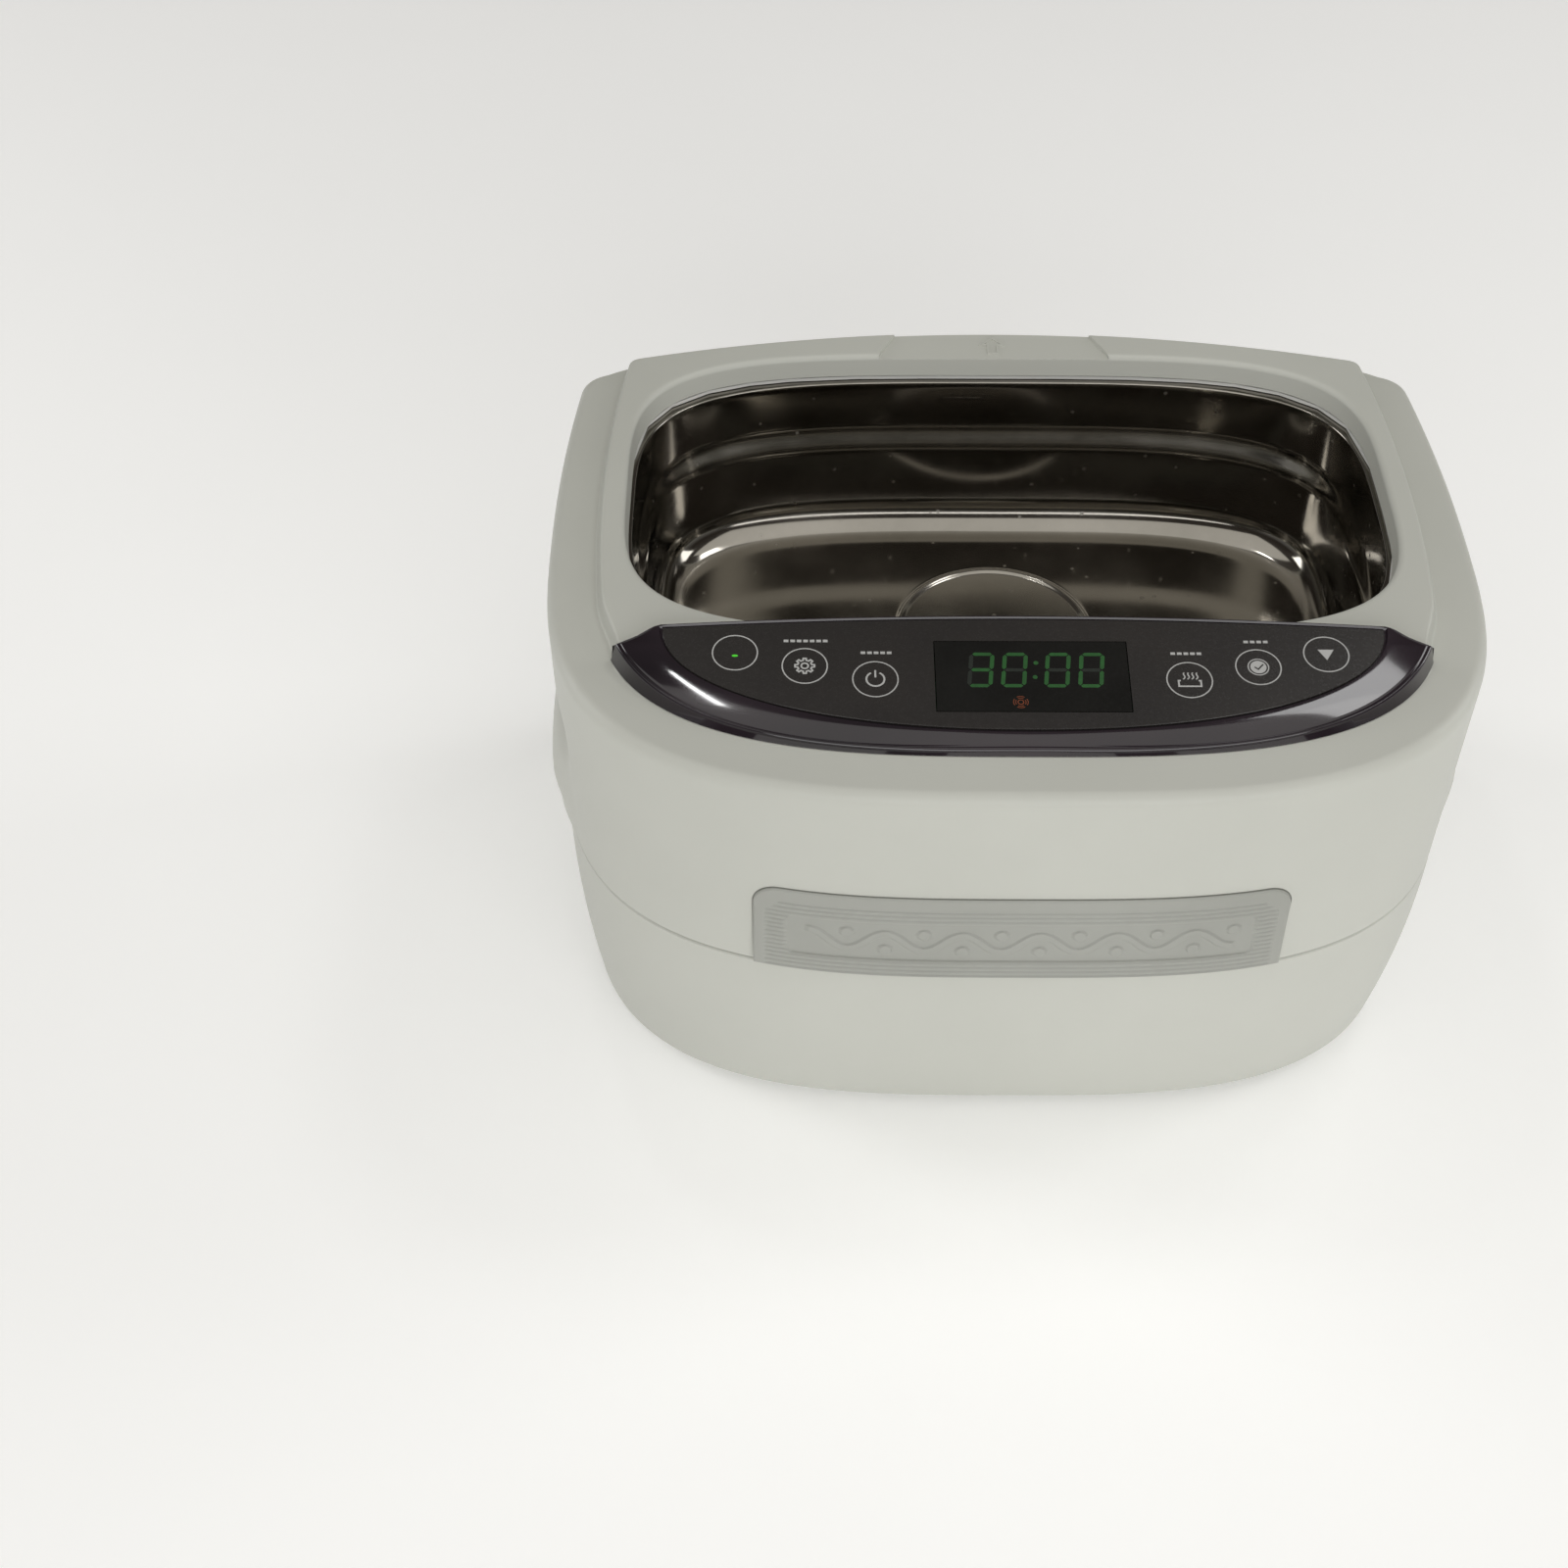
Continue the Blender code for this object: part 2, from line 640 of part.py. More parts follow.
def deck_ring(outer, inner, drop):
    """A ring midway across the deck, so that its surface bends where the panel's slope meets it."""
    ring = []
    for (ax, ay, _), (bx, by, _) in zip(outer, inner):
        y = 0.5 * (ay + by)
        ring.append((0.5 * (ax + bx), y, deck_z(y) - drop))
    return ring


def upper_underside():
    """Inner faces of the upper housing, from the opening's lip out and down to the seam."""
    lip = at_stations(opening_outline(WALL - OPENING_LIP_DRAFT))
    top = at_stations(opening_outline(WALL))
    edge = at_stations(grown(frame_outline(), -WALL))
    shoulder = at_stations(grown(frame_outline(), -0.8 * WALL))
    rings = [[(x, y, OPENING_LIP_Z) for x, y in lip]]
    rings.append([(x, y, deck_z(y) - WALL) for x, y in top])
    outer = [(x, y, deck_z(y) - WALL) for x, y in edge]
    rings.append(deck_ring(outer, rings[-1], WALL))
    rings.append(outer)
    rings.append([(x, y, RIM_Z - WALL) for x, y in shoulder])
    heights = (RIM_Z - WALL, *reversed(GRIP_LEVELS[1:]), SEAM_Z + SEAM_GAP)
    return rings + [wall_ring(z, WALL) for z in heights]


def make_upper_housing():
    heights = (SEAM_Z + SEAM_GAP, *GRIP_LEVELS)
    rings = [wall_ring(z) for z in heights] + rim_rings() + frame_rings() + upper_underside()
    housing = loft("upper_housing", rings, "housing_plastic", closed=True)
    for name, (x, y) in corner_places(FRONT_BOSS, back_boss()):
        top = deck_z(y) - 0.5 * WALL
        low = BOSS_TOP_Z + GAP
        boss = cylinder(f"upper_boss_{name}", (x, y, 0.5 * (low + top)), BOSS_RADIUS, top - low,
                        steps=12)
        combine(housing, boss, "UNION")
        reach = SCREW_REACH + 2 * GAP
        hole = cylinder(f"upper_boss_hole_{name}", (x, y, low), SCREW_PILOT, 2 * reach,
                        steps=12)
        combine(housing, hole)
    combine(housing, deck_window())
    combine(housing, pour_channel(), solver="MANIFOLD")
    pocket = plate_block("nameplate_pocket", -PLATE_RECESS - GAP, THROUGH, GAP)
    combine(housing, pocket, solver="MANIFOLD")
    return housing


def back_boss():
    """Beside the rounded back corner of the tank's flange, at a clearance from its edge."""
    power = 2 / TANK_ROUNDNESS
    half_width = OPENING_HALF_WIDTH + TANK_FLANGE_WIDTH
    half_depth = OPENING_HALF_DEPTH + TANK_FLANGE_WIDTH
    x = half_width * math.cos(BACK_BOSS_TURN) ** power
    y = half_depth * math.sin(BACK_BOSS_TURN) ** power
    away = Vector(((x / half_width) ** (TANK_ROUNDNESS - 1) / half_width,
                   (y / half_depth) ** (TANK_ROUNDNESS - 1) / half_depth))
    away = away.normalized() * (BOSS_RADIUS + BACK_BOSS_CLEARANCE)
    return x + away.x, OPENING_Y + y + away.y


def corner_places(front, back):
    return (
        ("front_left", (-front[0], front[1])), ("front_right", front),
        ("back_left", (-back[0], back[1])), ("back_right", back),
    )


def deck_window():
    """Half-moon hole in the deck that the control board hangs through."""
    outline = overlay_outline(BOARD_MARGIN - DECK_WINDOW_CLEARANCE)
    return prism("deck_window", outline, RIM_Z - THROUGH, RIM_Z + THROUGH)


def pour_channel():
    """Shallow channel across the back of the frame, flaring towards the tank."""
    narrow, wide = CHANNEL_BACK_HALF_WIDTH, CHANNEL_FRONT_HALF_WIDTH
    back, front = BACK_Y + 0.002, OPENING_BACK_Y - 0.003
    outline = []
    for i in range(7):
        t = i / 6
        outline.append((narrow + (wide - narrow) * smooth_step(t), back + (front - back) * t))
    outline = [*outline, *[(-x, y) for x, y in reversed(outline)]]
    return prism("pour_channel", outline, FRAME_TOP_Z - CHANNEL_DEPTH, FRAME_TOP_Z + THROUGH)


def make_lower_housing():
    outer = SEAM_Z
    radius = BASE_EDGE_RADIUS
    rings = [base_ring(z) for z in (outer, 0.060, 0.040, 0.024, 0.014)]
    for angle in (0, 45, 90):
        turn = math.radians(angle)
        z = BASE_Z + radius * (1 - math.sin(turn))
        ring = base_ring(BASE_Z + radius, radius * (1 - math.cos(turn)))
        rings.append([(x, y, z) for x, y, _ in ring])
    floor = BASE_Z + FLOOR_THICKNESS
    inside = [base_ring(floor, radius + 0.001)]
    inside += [base_ring(z, WALL) for z in (0.012, 0.030, 0.056)]
    inside.append(base_ring(outer - TONGUE_HEIGHT, WALL + GAP + TONGUE_WALL))
    inside.append(base_ring(outer + TONGUE_HEIGHT, WALL + GAP + TONGUE_WALL))
    inside.append(base_ring(outer + TONGUE_HEIGHT, WALL + GAP))
    inside.append(base_ring(outer, WALL + GAP))
    housing = tray("lower_housing", rings, inside, "housing_plastic")
    for name, (x, y) in corner_places(FRONT_BOSS, back_boss()):
        low = BASE_Z + 0.5 * FLOOR_THICKNESS
        boss = cylinder(f"lower_boss_{name}", (x, y, 0.5 * (low + BOSS_TOP_Z)), BOSS_RADIUS,
                        BOSS_TOP_Z - low, steps=12)
        combine(housing, boss, "UNION")
    for i, (x, y) in enumerate(post_places()):
        low, high = BASE_Z + 0.5 * FLOOR_THICKNESS, BOARD_Z - GAP
        post = cylinder(f"board_post_{i}", (x, y, 0.5 * (low + high)), POST_RADIUS, high - low,
                        steps=12)
        combine(housing, post, "UNION")
    for cutter in lower_cutters():
        combine(housing, cutter)
    return housing


def tray(name, outer, inner, material):
    """Closed skin from the rim down, across the base, and up the inside."""
    bm = bmesh.new()
    rows = [[bm.verts.new(p) for p in ring] for ring in (*outer, *inner)]
    bottom = len(outer) - 1
    links = [(i, i + 1) for i in range(len(rows) - 1) if i != bottom]
    for a, b in [*links, (len(rows) - 1, 0)]:
        for i in range(len(rows[a])):
            j = (i + 1) % len(rows[a])
            bm.faces.new((rows[a][i], rows[a][j], rows[b][j], rows[b][i]))
    bm.faces.new(rows[bottom])
    bm.faces.new(rows[bottom + 1])
    return add_object(name, mesh_from(bm, name), material)


def post_places():
    half_x = 0.5 * BOARD_SIZE[0] - POST_MARGIN
    half_y = 0.5 * BOARD_SIZE[1] - POST_MARGIN
    return [(BOARD_CENTRE[0] + sx * half_x, BOARD_CENTRE[1] + sy * half_y)
            for sx in (-1, 1) for sy in (-1, 1)]


def lower_cutters():
    """Screw wells, foot holes, the fan's grille and screws, and the inlet's hole."""
    cutters = []
    for name, (x, y) in corner_places(FRONT_BOSS, back_boss()):
        seat = BOSS_TOP_Z - SCREW_SEAT
        well = cylinder(f"screw_well_{name}", (x, y, 0.5 * seat), COUNTERBORE, seat, steps=12)
        bore = cylinder(f"screw_bore_{name}", (x, y, seat), SCREW_BORE, 2 * THROUGH, steps=12)
        cutters += [well, bore]
    for name, (x, y) in corner_places(FRONT_FOOT, BACK_FOOT):
        cutters.append(cylinder(f"foot_hole_{name}", (x, y, BASE_Z), FOOT_STEM_RADIUS + GAP,
                                THROUGH, steps=12))
    for i in range(GRILLE_SLOTS):
        offset = GRILLE_PITCH * (i - 0.5 * (GRILLE_SLOTS - 1))
        reach = math.sqrt(FAN_BORE**2 - offset**2) - 0.002
        cutters.append(box(f"grille_slot_{i}", (FAN_CENTRE[0] + offset, FAN_CENTRE[1], BASE_Z),
                           (GRILLE_SLOT_WIDTH, 2 * reach, THROUGH)))
    for i, (x, y) in enumerate(fan_screw_places()):
        cutters.append(cylinder(f"fan_screw_hole_{i}", (x, y, BASE_Z), FAN_SCREW_RADIUS + GAP,
                                THROUGH, steps=12))
    hole = (INLET_BODY[0] + 2 * GAP, INLET_BODY[1] + 2 * GAP, 2 * THROUGH)
    cutters.append(box("inlet_hole", (0, 0, 0), hole, frame=INLET_FRAME))
    return cutters


def plate_block(name, inner, outer, margin, material=None):
    """A slab that follows the front wall, between two offsets from its surface."""
    wall = body_outline(0.5 * SEAM_INSET, 0.5 * SEAM_INSET, 0.0)
    front = sorted((x, y) for x, y in wall if y < WIDEST_Y)
    xs = [x for x, _ in front]
    ys = [y for _, y in front]
    half = PLATE_HALF_WIDTH + margin
    low = SEAM_Z + SEAM_GAP + (GAP - margin)
    high = PLATE_TOP_Z + margin
    radius = PLATE_CORNER_RADIUS + margin
    rings = []
    for i in range(PLATE_STEPS + 1):
        angle = math.pi * i / PLATE_STEPS
        x = -half * math.cos(angle)
        edge = half - abs(x)
        rounding = radius - math.sqrt(max(radius**2 - max(radius - edge, 0.0) ** 2, 0.0))
        y = float(np.interp(x, xs, ys))
        top = max(high - rounding, low + 0.002)
        rings.append([(x, y - inner, low), (x, y - inner, top), (x, y - outer, top),
                      (x, y - outer, low)])
    return loft(name, rings, material)


# ---------------------------------------------------------------- control panel


def panel_outline(inset=0.0):
    """Front curve out to the tips, then in to the back corners and the bowed back edge."""
    half, reach = PANEL_HALF_WIDTH - inset, PANEL_REACH - inset
    tip_y = PANEL_TIP_Y - 0.5 * inset
    far = (PANEL_CENTRE_Y - tip_y) / reach
    last_angle = math.acos(far ** (0.5 * PANEL_ROUNDNESS))
    front = []
    for i in range(PANEL_STEPS + 1):
        angle = last_angle * i / PANEL_STEPS
        front.append((half * math.sin(angle) ** (2 / PANEL_ROUNDNESS),
                      PANEL_CENTRE_Y - reach * math.cos(angle) ** (2 / PANEL_ROUNDNESS)))
    back = []
    half = PANEL_BACK_HALF_WIDTH - 0.6 * inset
    for i in range(9):
        x = half * (1 - i / 8)
        bow = PANEL_BACK_BOW * (1 - (x / half) ** 2)
        back.append((x, PANEL_BACK_CORNER_Y - inset + bow))
    return mirrored([*front, *back])


def overlay_outline(inset=0.0):
    """Half-moon: curved front, and a back edge bowed like the panel's own."""
    half = OVERLAY_HALF_WIDTH - inset
    back = OVERLAY_BACK_Y - inset
    right = superellipse_quarter(half, OVERLAY_REACH - 2 * inset, back, OVERLAY_ROUNDNESS, 16)
    for i in range(1, 7):
        x = half * (1 - i / 6)
        right.append((x, back + PANEL_BACK_BOW * (1 - (x / half) ** 2)))
    return mirrored(right)


def pad_places():
    """Touch pads of the right side, from the outer end of the overlay in to the window."""
    outer = OVERLAY_HALF_WIDTH - PAD_END_MARGIN
    inner = WINDOW_HALF_WIDTH + PAD_WINDOW_MARGIN
    places = []
    for i in range(PADS_A_SIDE):
        x = outer + (inner - outer) * i / (PADS_A_SIDE - 1)
        places.append((x, OVERLAY_BACK_Y - PAD_BACK_MARGIN - PAD_ROW_SLANT * (outer - x)))
    return places


def window_outline(margin=0.0):
    half, back, front = WINDOW_HALF_WIDTH + margin, WINDOW_BACK_Y + margin, WINDOW_FRONT_Y - margin
    return [(-half, front), (half, front), (half, back), (-half, back)]


def under_panel(drop):
    return lambda x, y: panel_z(y) - drop


def make_panel():
    rings = []
    for inset, level in ((0.0, lambda y: RIM_Z + GAP),
                         (PANEL_DRAFT, lambda y: panel_z(y) - PANEL_CHAMFER),
                         (PANEL_DRAFT + PANEL_CHAMFER, panel_z)):
        rings.append([(x, y, level(y)) for x, y in panel_outline(inset)])
    bezel = loft("panel_bezel", rings, "bezel_acrylic")
    combine(bezel, deck_relief())
    top = FRAME_TOP_Z + 2 * THROUGH
    combine(bezel, prism("overlay_pocket", overlay_outline(-GAP),
                         under_panel(OVERLAY_THICKNESS + GAP), top))
    combine(bezel, prism("bezel_window", overlay_outline(BOARD_MARGIN), RIM_Z - THROUGH, top),
            solver="MANIFOLD")
    overlay = prism("touch_overlay", overlay_outline(), under_panel(OVERLAY_THICKNESS),
                    under_panel(0.0), "overlay_film")
    combine(overlay, prism("window_hole", window_outline(GAP), RIM_Z - THROUGH, top))
    prism("display_window", window_outline(), under_panel(OVERLAY_THICKNESS),
          under_panel(0.0), "window_lens")


def deck_relief():
    """The housing's raised deck grown by the working gap, taken out of the bezel."""
    outline = at_stations(grown(frame_outline(), FRAME_DRAFT + GAP))
    relief = prism("deck_relief", outline, RIM_Z - THROUGH, FRAME_TOP_Z + GAP)
    half_x, half_y = 2 * BODY_HALF_WIDTH, 2 * BODY_HALF_DEPTH
    square = [(-half_x, -half_y), (half_x, -half_y), (half_x, half_y), (-half_x, half_y)]
    slope = prism("panel_slope", square, 0.0, under_panel(PANEL_CAP - GAP))
    combine(relief, slope, "INTERSECT")
    return relief


def make_control_board():
    """Board, digit block and the touch springs, hung parallel to the sloping panel."""
    tilt = math.atan(PANEL_SLOPE)
    middle = 0.5 * (WINDOW_BACK_Y + WINDOW_FRONT_Y)
    prism("control_board", overlay_outline(BOARD_MARGIN),
          under_panel(BOARD_DROP + BOARD_THICKNESS), under_panel(BOARD_DROP), "circuit_board")
    frame = Matrix.Translation((0.0, middle, panel_z(middle) - BOARD_DROP))
    frame = frame @ Matrix.Rotation(tilt, 4, "X")
    room = (BOARD_DROP - OVERLAY_THICKNESS) * math.cos(tilt) - 2 * GAP
    place = (0.0, 0.0, GAP + 0.5 * room)
    box("display_module", place, (*DISPLAY_SIZE, room), "display_led", frame, 0.0005)
    for side, sign in (("left", -1), ("right", 1)):
        for i, (x, y) in enumerate(pad_places()):
            place = (sign * x, (y - middle) / math.cos(tilt), GAP + 0.5 * room)
            cylinder(f"touch_spring_{side}_{i + 1}", place, TOUCH_SPRING_RADIUS, room,
                     "plated_steel", frame, steps=12)


# ---------------------------------------------------------------- tank and heating


def tank_levels():
    """(how far inside the opening, height) down the tank's inner face to its floor."""
    inset = TANK_INSET
    levels = [(inset, TANK_FLANGE_Z)]
    levels.append((inset + 0.0006, TANK_FLANGE_Z - 0.0015))
    levels.append((inset + 0.5 * TANK_DRAFT, TANK_STEP_Z + 0.0020))
    levels.append((inset + 0.5 * TANK_DRAFT + TANK_STEP, TANK_STEP_Z - 0.0020))
    bottom = inset + TANK_DRAFT + TANK_STEP
    for angle in (0, 30, 60, 90):
        turn = math.radians(angle)
        levels.append((bottom + TANK_FILLET * (1 - math.cos(turn)),
                       TANK_FLOOR_Z + TANK_FILLET * (1 - math.sin(turn))))
    return levels


def make_tank():
    angles = STATIONS[::2]

    def at(grow, z):
        return [(x, y, z) for x, y in at_stations(opening_outline(grow, TANK_ROUNDNESS), angles)]

    def round_at(radius, z):
        return [(x, y, z) for x, y in at_stations(circle_outline(radius, TRANSDUCER_Y), angles)]

    ring, width, raised = RING_RADIUS, RING_WIDTH, TANK_FLOOR_Z + RING_HEIGHT
    inner = [at(TANK_FLANGE_WIDTH, TANK_FLANGE_Z)]
    inner += [at(-inset, z) for inset, z in tank_levels()]
    inner += [round_at(ring, TANK_FLOOR_Z), round_at(ring - 0.0008, raised),
              round_at(ring - width, raised)]
    outer = [at(TANK_WALL - inset, z) for inset, z in tank_levels()[1:-3]]
    drop = TANK_FLOOR_Z - TANK_WALL
    for angle in (30, 60, 90):
        turn = math.radians(angle)
        reach = TANK_FILLET + TANK_WALL
        outer.append(at(reach - TANK_FLOOR_INSET - reach * (1 - math.cos(turn)),
                        drop + reach * (1 - math.sin(turn))))
    under = [at(TANK_FLANGE_WIDTH, TANK_FLANGE_Z - TANK_WALL),
             at(TANK_WALL - TANK_INSET + 0.0004, TANK_FLANGE_Z - TANK_WALL)]
    bm = bmesh.new()
    rows = [[bm.verts.new(p) for p in row] for row in [*reversed(inner), *under, *outer]]
    for low, high in zip(rows, rows[1:]):
        for i in range(len(low)):
            j = (i + 1) % len(low)
            bm.faces.new((low[i], low[j], high[j], high[i]))
    bm.faces.new(rows[0])
    bm.faces.new(rows[-1])
    add_object("tank", mesh_from(bm, "tank"), "stainless_steel")
    low, high = TANK_FLANGE_Z + GAP, OPENING_LIP_Z - GAP
    rings = []
    for grow, z in ((0.0, low), (GASKET_WIDTH, low), (GASKET_WIDTH, high), (0.0, high)):
        rings.append([(x, y, z) for x, y in at_stations(opening_outline(grow), angles)])
    loft("tank_gasket", rings, "silicone", closed=True)


def make_transducer():
    """Bolted stack, from the horn glued under the tank down to the bolt's head."""
    place = (0.0, TRANSDUCER_Y, 0.0)
    top = TANK_FLOOR_Z - TANK_WALL - GAP
    low = top - HORN_HEIGHT
    bore = BOLT_RADIUS + GAP
    thread = low + 0.6 * HORN_HEIGHT
    turned("transducer_horn",
           [(0, top), (HORN_RADIUS, top), (HORN_RADIUS, top - 0.005), (HORN_WAIST, low),
            (bore, low), (bore, thread), (0, thread)], place, "aluminium")
    level = low - GAP

    def washer(name, radius, hole, thickness, material):
        nonlocal level
        high, bottom = level, level - thickness
        turned(name, [(hole, high), (radius, high), (radius, bottom), (hole, bottom)], place,
               material)
        level = bottom - GAP

    washer("piezo_ring_upper", PIEZO_RADIUS, PIEZO_BORE, PIEZO_THICKNESS, "piezo_ceramic")
    electrode("electrode_upper", level)
    level -= ELECTRODE_THICKNESS + GAP
    washer("piezo_ring_lower", PIEZO_RADIUS, PIEZO_BORE, PIEZO_THICKNESS, "piezo_ceramic")
    electrode("electrode_lower", level)
    level -= ELECTRODE_THICKNESS + GAP
    washer("transducer_back_mass", PIEZO_RADIUS, bore, BACK_MASS_HEIGHT, "plated_steel")
    shank = thread - GAP
    turned("transducer_bolt",
           [(0, shank), (BOLT_RADIUS, shank), (BOLT_RADIUS, level), (BOLT_HEAD_RADIUS, level),
            (BOLT_HEAD_RADIUS, level - BOLT_HEAD_HEIGHT), (0, level - BOLT_HEAD_HEIGHT)],
           place, "plated_steel", steps=12)


def electrode(name, top):
    """Thin ring with a solder tag."""
    outline = []
    for i in range(25):
        angle = math.radians(12 + 336 * i / 24)
        outline.append((PIEZO_RADIUS * math.cos(angle), PIEZO_RADIUS * math.sin(angle)))
    tag_y = outline[0][1]
    tip = PIEZO_RADIUS + ELECTRODE_TAG
    outline += [(tip, -tag_y), (tip, tag_y)]
    low = top - ELECTRODE_THICKNESS
    ring = prism(name, [(x, y + TRANSDUCER_Y) for x, y in outline], low, top, "brass")
    hole = cylinder(f"{name}_hole", (0, TRANSDUCER_Y, top), PIEZO_BORE, THROUGH)
    combine(ring, hole)


def make_heating():
    under = TANK_FLOOR_Z - TANK_WALL - GAP
    middle = 0.5 * (HEATER_INNER_X + HEATER_OUTER_X)
    size = (HEATER_OUTER_X - HEATER_INNER_X, HEATER_LENGTH, HEATER_THICKNESS)
    for side, sign in (("left", -1), ("right", 1)):
        box(f"heater_mat_{side}", (sign * middle, OPENING_Y, under - 0.5 * HEATER_THICKNESS),
            size, "heater_mat", bevel=0.0004)
    turned("thermal_cutout",
           [(0, under), (CUTOUT_RADIUS, under), (CUTOUT_RADIUS, under - CUTOUT_HEIGHT),
            (0.6 * CUTOUT_RADIUS, under - 1.3 * CUTOUT_HEIGHT), (0, under - 1.3 * CUTOUT_HEIGHT)],
           (0.0, CUTOUT_Y, 0.0), "black_plastic", steps=16)


# ---------------------------------------------------------------- electronics


def make_main_board():
    x, y = BOARD_CENTRE
    box("main_board", (x, y, BOARD_Z + 0.5 * BOARD_SIZE[2]), BOARD_SIZE, "circuit_board")
    top = BOARD_TOP_Z + GAP

    def on_board(name, dx, dy, size, material, bevel=0.0006):
        return box(name, (x + dx, y + dy, top + 0.5 * size[2]), size, material, bevel=bevel)

    core = on_board("transformer", 0.036, -0.022, (0.034, 0.030, 0.026), "black_plastic", 0.0)
    winding = box("transformer_winding", (x + 0.036, y - 0.022, top + 0.014),
                  (0.026, 0.040, 0.020))
    combine(core, winding, "UNION")
    heatsink = on_board("heatsink", -0.010, -0.034, (0.046, 0.016, 0.034), "aluminium", 0.0)
    for i in range(5):
        groove = box(f"heatsink_groove_{i}", (x - 0.028 + 0.009 * i, y - 0.040, top + 0.022),
                     (0.005, 0.010, 0.030))
        combine(heatsink, groove)
    for side, dx in (("left", -0.022), ("right", 0.002)):
        on_board(f"power_transistor_{side}", dx, -0.0232, (0.015, 0.0045, 0.020),
                 "black_plastic", 0.0)
    for i, dy in enumerate((0.010, 0.034)):
        turned(f"capacitor_{i + 1}",
               [(0, top + 0.030), (0.0085, top + 0.030), (0.009, top + 0.029), (0.009, top),
                (0, top)], (x + 0.044, y + dy, 0.0), "capacitor_sleeve", steps=16)
    on_board("relay", 0.018, 0.034, (0.019, 0.015, 0.015), "black_plastic")
    cylinder("board_fuse", (x - 0.046, y + 0.026, top + 0.0032), 0.0028, 0.020, "fuse_glass",
             steps=12, turn=Matrix.Rotation(math.pi / 2, 4, "X"))


def fan_screw_places():
    half = 0.5 * FAN_SCREW_PITCH
    return [(FAN_CENTRE[0] + sx * half, FAN_CENTRE[1] + sy * half)
            for sx in (-1, 1) for sy in (-1, 1)]


def make_fan():
    x, y = FAN_CENTRE
    low = BASE_Z + FLOOR_THICKNESS + GAP
    frame = box("fan_frame", (x, y, low + 0.5 * FAN_HEIGHT), (FAN_SIDE, FAN_SIDE, FAN_HEIGHT),
                "black_plastic")
    bore_low = low + FAN_PLATE
    combine(frame, cylinder("fan_bore", (x, y, bore_low + 0.010), FAN_BORE, 0.020, steps=32))
    span = 2 * math.pi / FAN_SPOKES
    for i in range(FAN_SPOKES):
        start = i * span + 0.5 * FAN_SPOKE_ANGLE
        stop = (i + 1) * span - 0.5 * FAN_SPOKE_ANGLE
        arc = [start + (stop - start) * j / 6 for j in range(7)]
        outer = [((FAN_BORE - 0.001) * math.cos(a), (FAN_BORE - 0.001) * math.sin(a)) for a in arc]
        inner = [(FAN_HUB * math.cos(a), FAN_HUB * math.sin(a)) for a in reversed(arc)]
        outline = [(x + px, y + py) for px, py in [*outer, *inner]]
        combine(frame, prism(f"fan_gap_{i}", outline, low - 0.002, bore_low + 0.001))
    pin_top = low + FAN_HEIGHT - 0.004
    pin = cylinder("fan_pin", (x, y, 0.5 * (low + 0.001 + pin_top)), FAN_PIN_RADIUS,
                   pin_top - low - 0.001, steps=16)
    combine(frame, pin, "UNION")
    for i, (sx, sy) in enumerate(fan_screw_places()):
        combine(frame, cylinder(f"fan_hole_{i}", (sx, sy, low), FAN_SCREW_RADIUS + GAP, 0.040,
                                steps=8))
        head = low + FAN_HEIGHT + GAP
        turned(f"fan_screw_{i + 1}",
               [(0, head + 0.0020), (FAN_SCREW_HEAD, head + 0.0014), (FAN_SCREW_HEAD, head),
                (FAN_SCREW_RADIUS, head), (FAN_SCREW_RADIUS, BASE_Z + 0.0006),
                (0, BASE_Z + 0.0006)], (sx, sy, 0.0), "plated_steel", steps=10)
    make_fan_rotor(bore_low + 0.0006, low + FAN_HEIGHT - 0.001)


def make_fan_rotor(low, high):
    """Hub and swept blades in one piece, on the frame's pin."""
    x, y = FAN_CENTRE
    pitch = 2 * math.pi / FAN_BLADES
    width = FAN_BLADE_HALF_ANGLE
    root = FAN_HUB - 0.002
    section = []
    for blade in range(FAN_BLADES):
        centre = blade * pitch
        for angle, radius in ((-width, root), (-0.6 * width, FAN_BLADE_TIP),
                              (0.6 * width, FAN_BLADE_TIP), (width, root), (0.5 * pitch, root)):
            section.append((centre + angle, radius))
    rings = []
    for level in range(4):
        t = level / 3
        turn = FAN_TWIST * t
        z = low + (high - low) * t
        rings.append([(r * math.cos(a + turn), r * math.sin(a + turn), z) for a, r in section])
    rotor = loft("fan_rotor", rings, "black_plastic")
    rotor.location = (x, y, 0.0)
    bore = cylinder("fan_rotor_bore", (x, y, low), FAN_PIN_RADIUS + FAN_PIN_CLEARANCE,
                    2 * (high - low) - 0.004, steps=20)
    combine(rotor, bore)


# ---------------------------------------------------------------- mains inlet


def inlet_frame():
    """Axes on the back wall: X along it, Y up it, Z out of it."""
    def wall(x, z):
        back = sorted((px, py) for px, py, _ in base_ring(z) if py > 0.5 * BACK_Y)
        return float(np.interp(x, [p[0] for p in back], [p[1] for p in back]))

    step = 0.5 * INLET_FLANGE[0]
    rise = 0.5 * INLET_FLANGE[1]
    centre = Vector((INLET_X, wall(INLET_X, INLET_Z), INLET_Z))
    along = Vector((-2 * step, wall(INLET_X - step, INLET_Z) - wall(INLET_X + step, INLET_Z), 0))
    up = Vector((0, wall(INLET_X, INLET_Z + rise) - wall(INLET_X, INLET_Z - rise), 2 * rise))
    along.normalize()
    out = along.cross(up).normalized()
    up = out.cross(along)
    axes = Matrix((along, up, out)).transposed().to_4x4()
    return Matrix.Translation(centre) @ axes


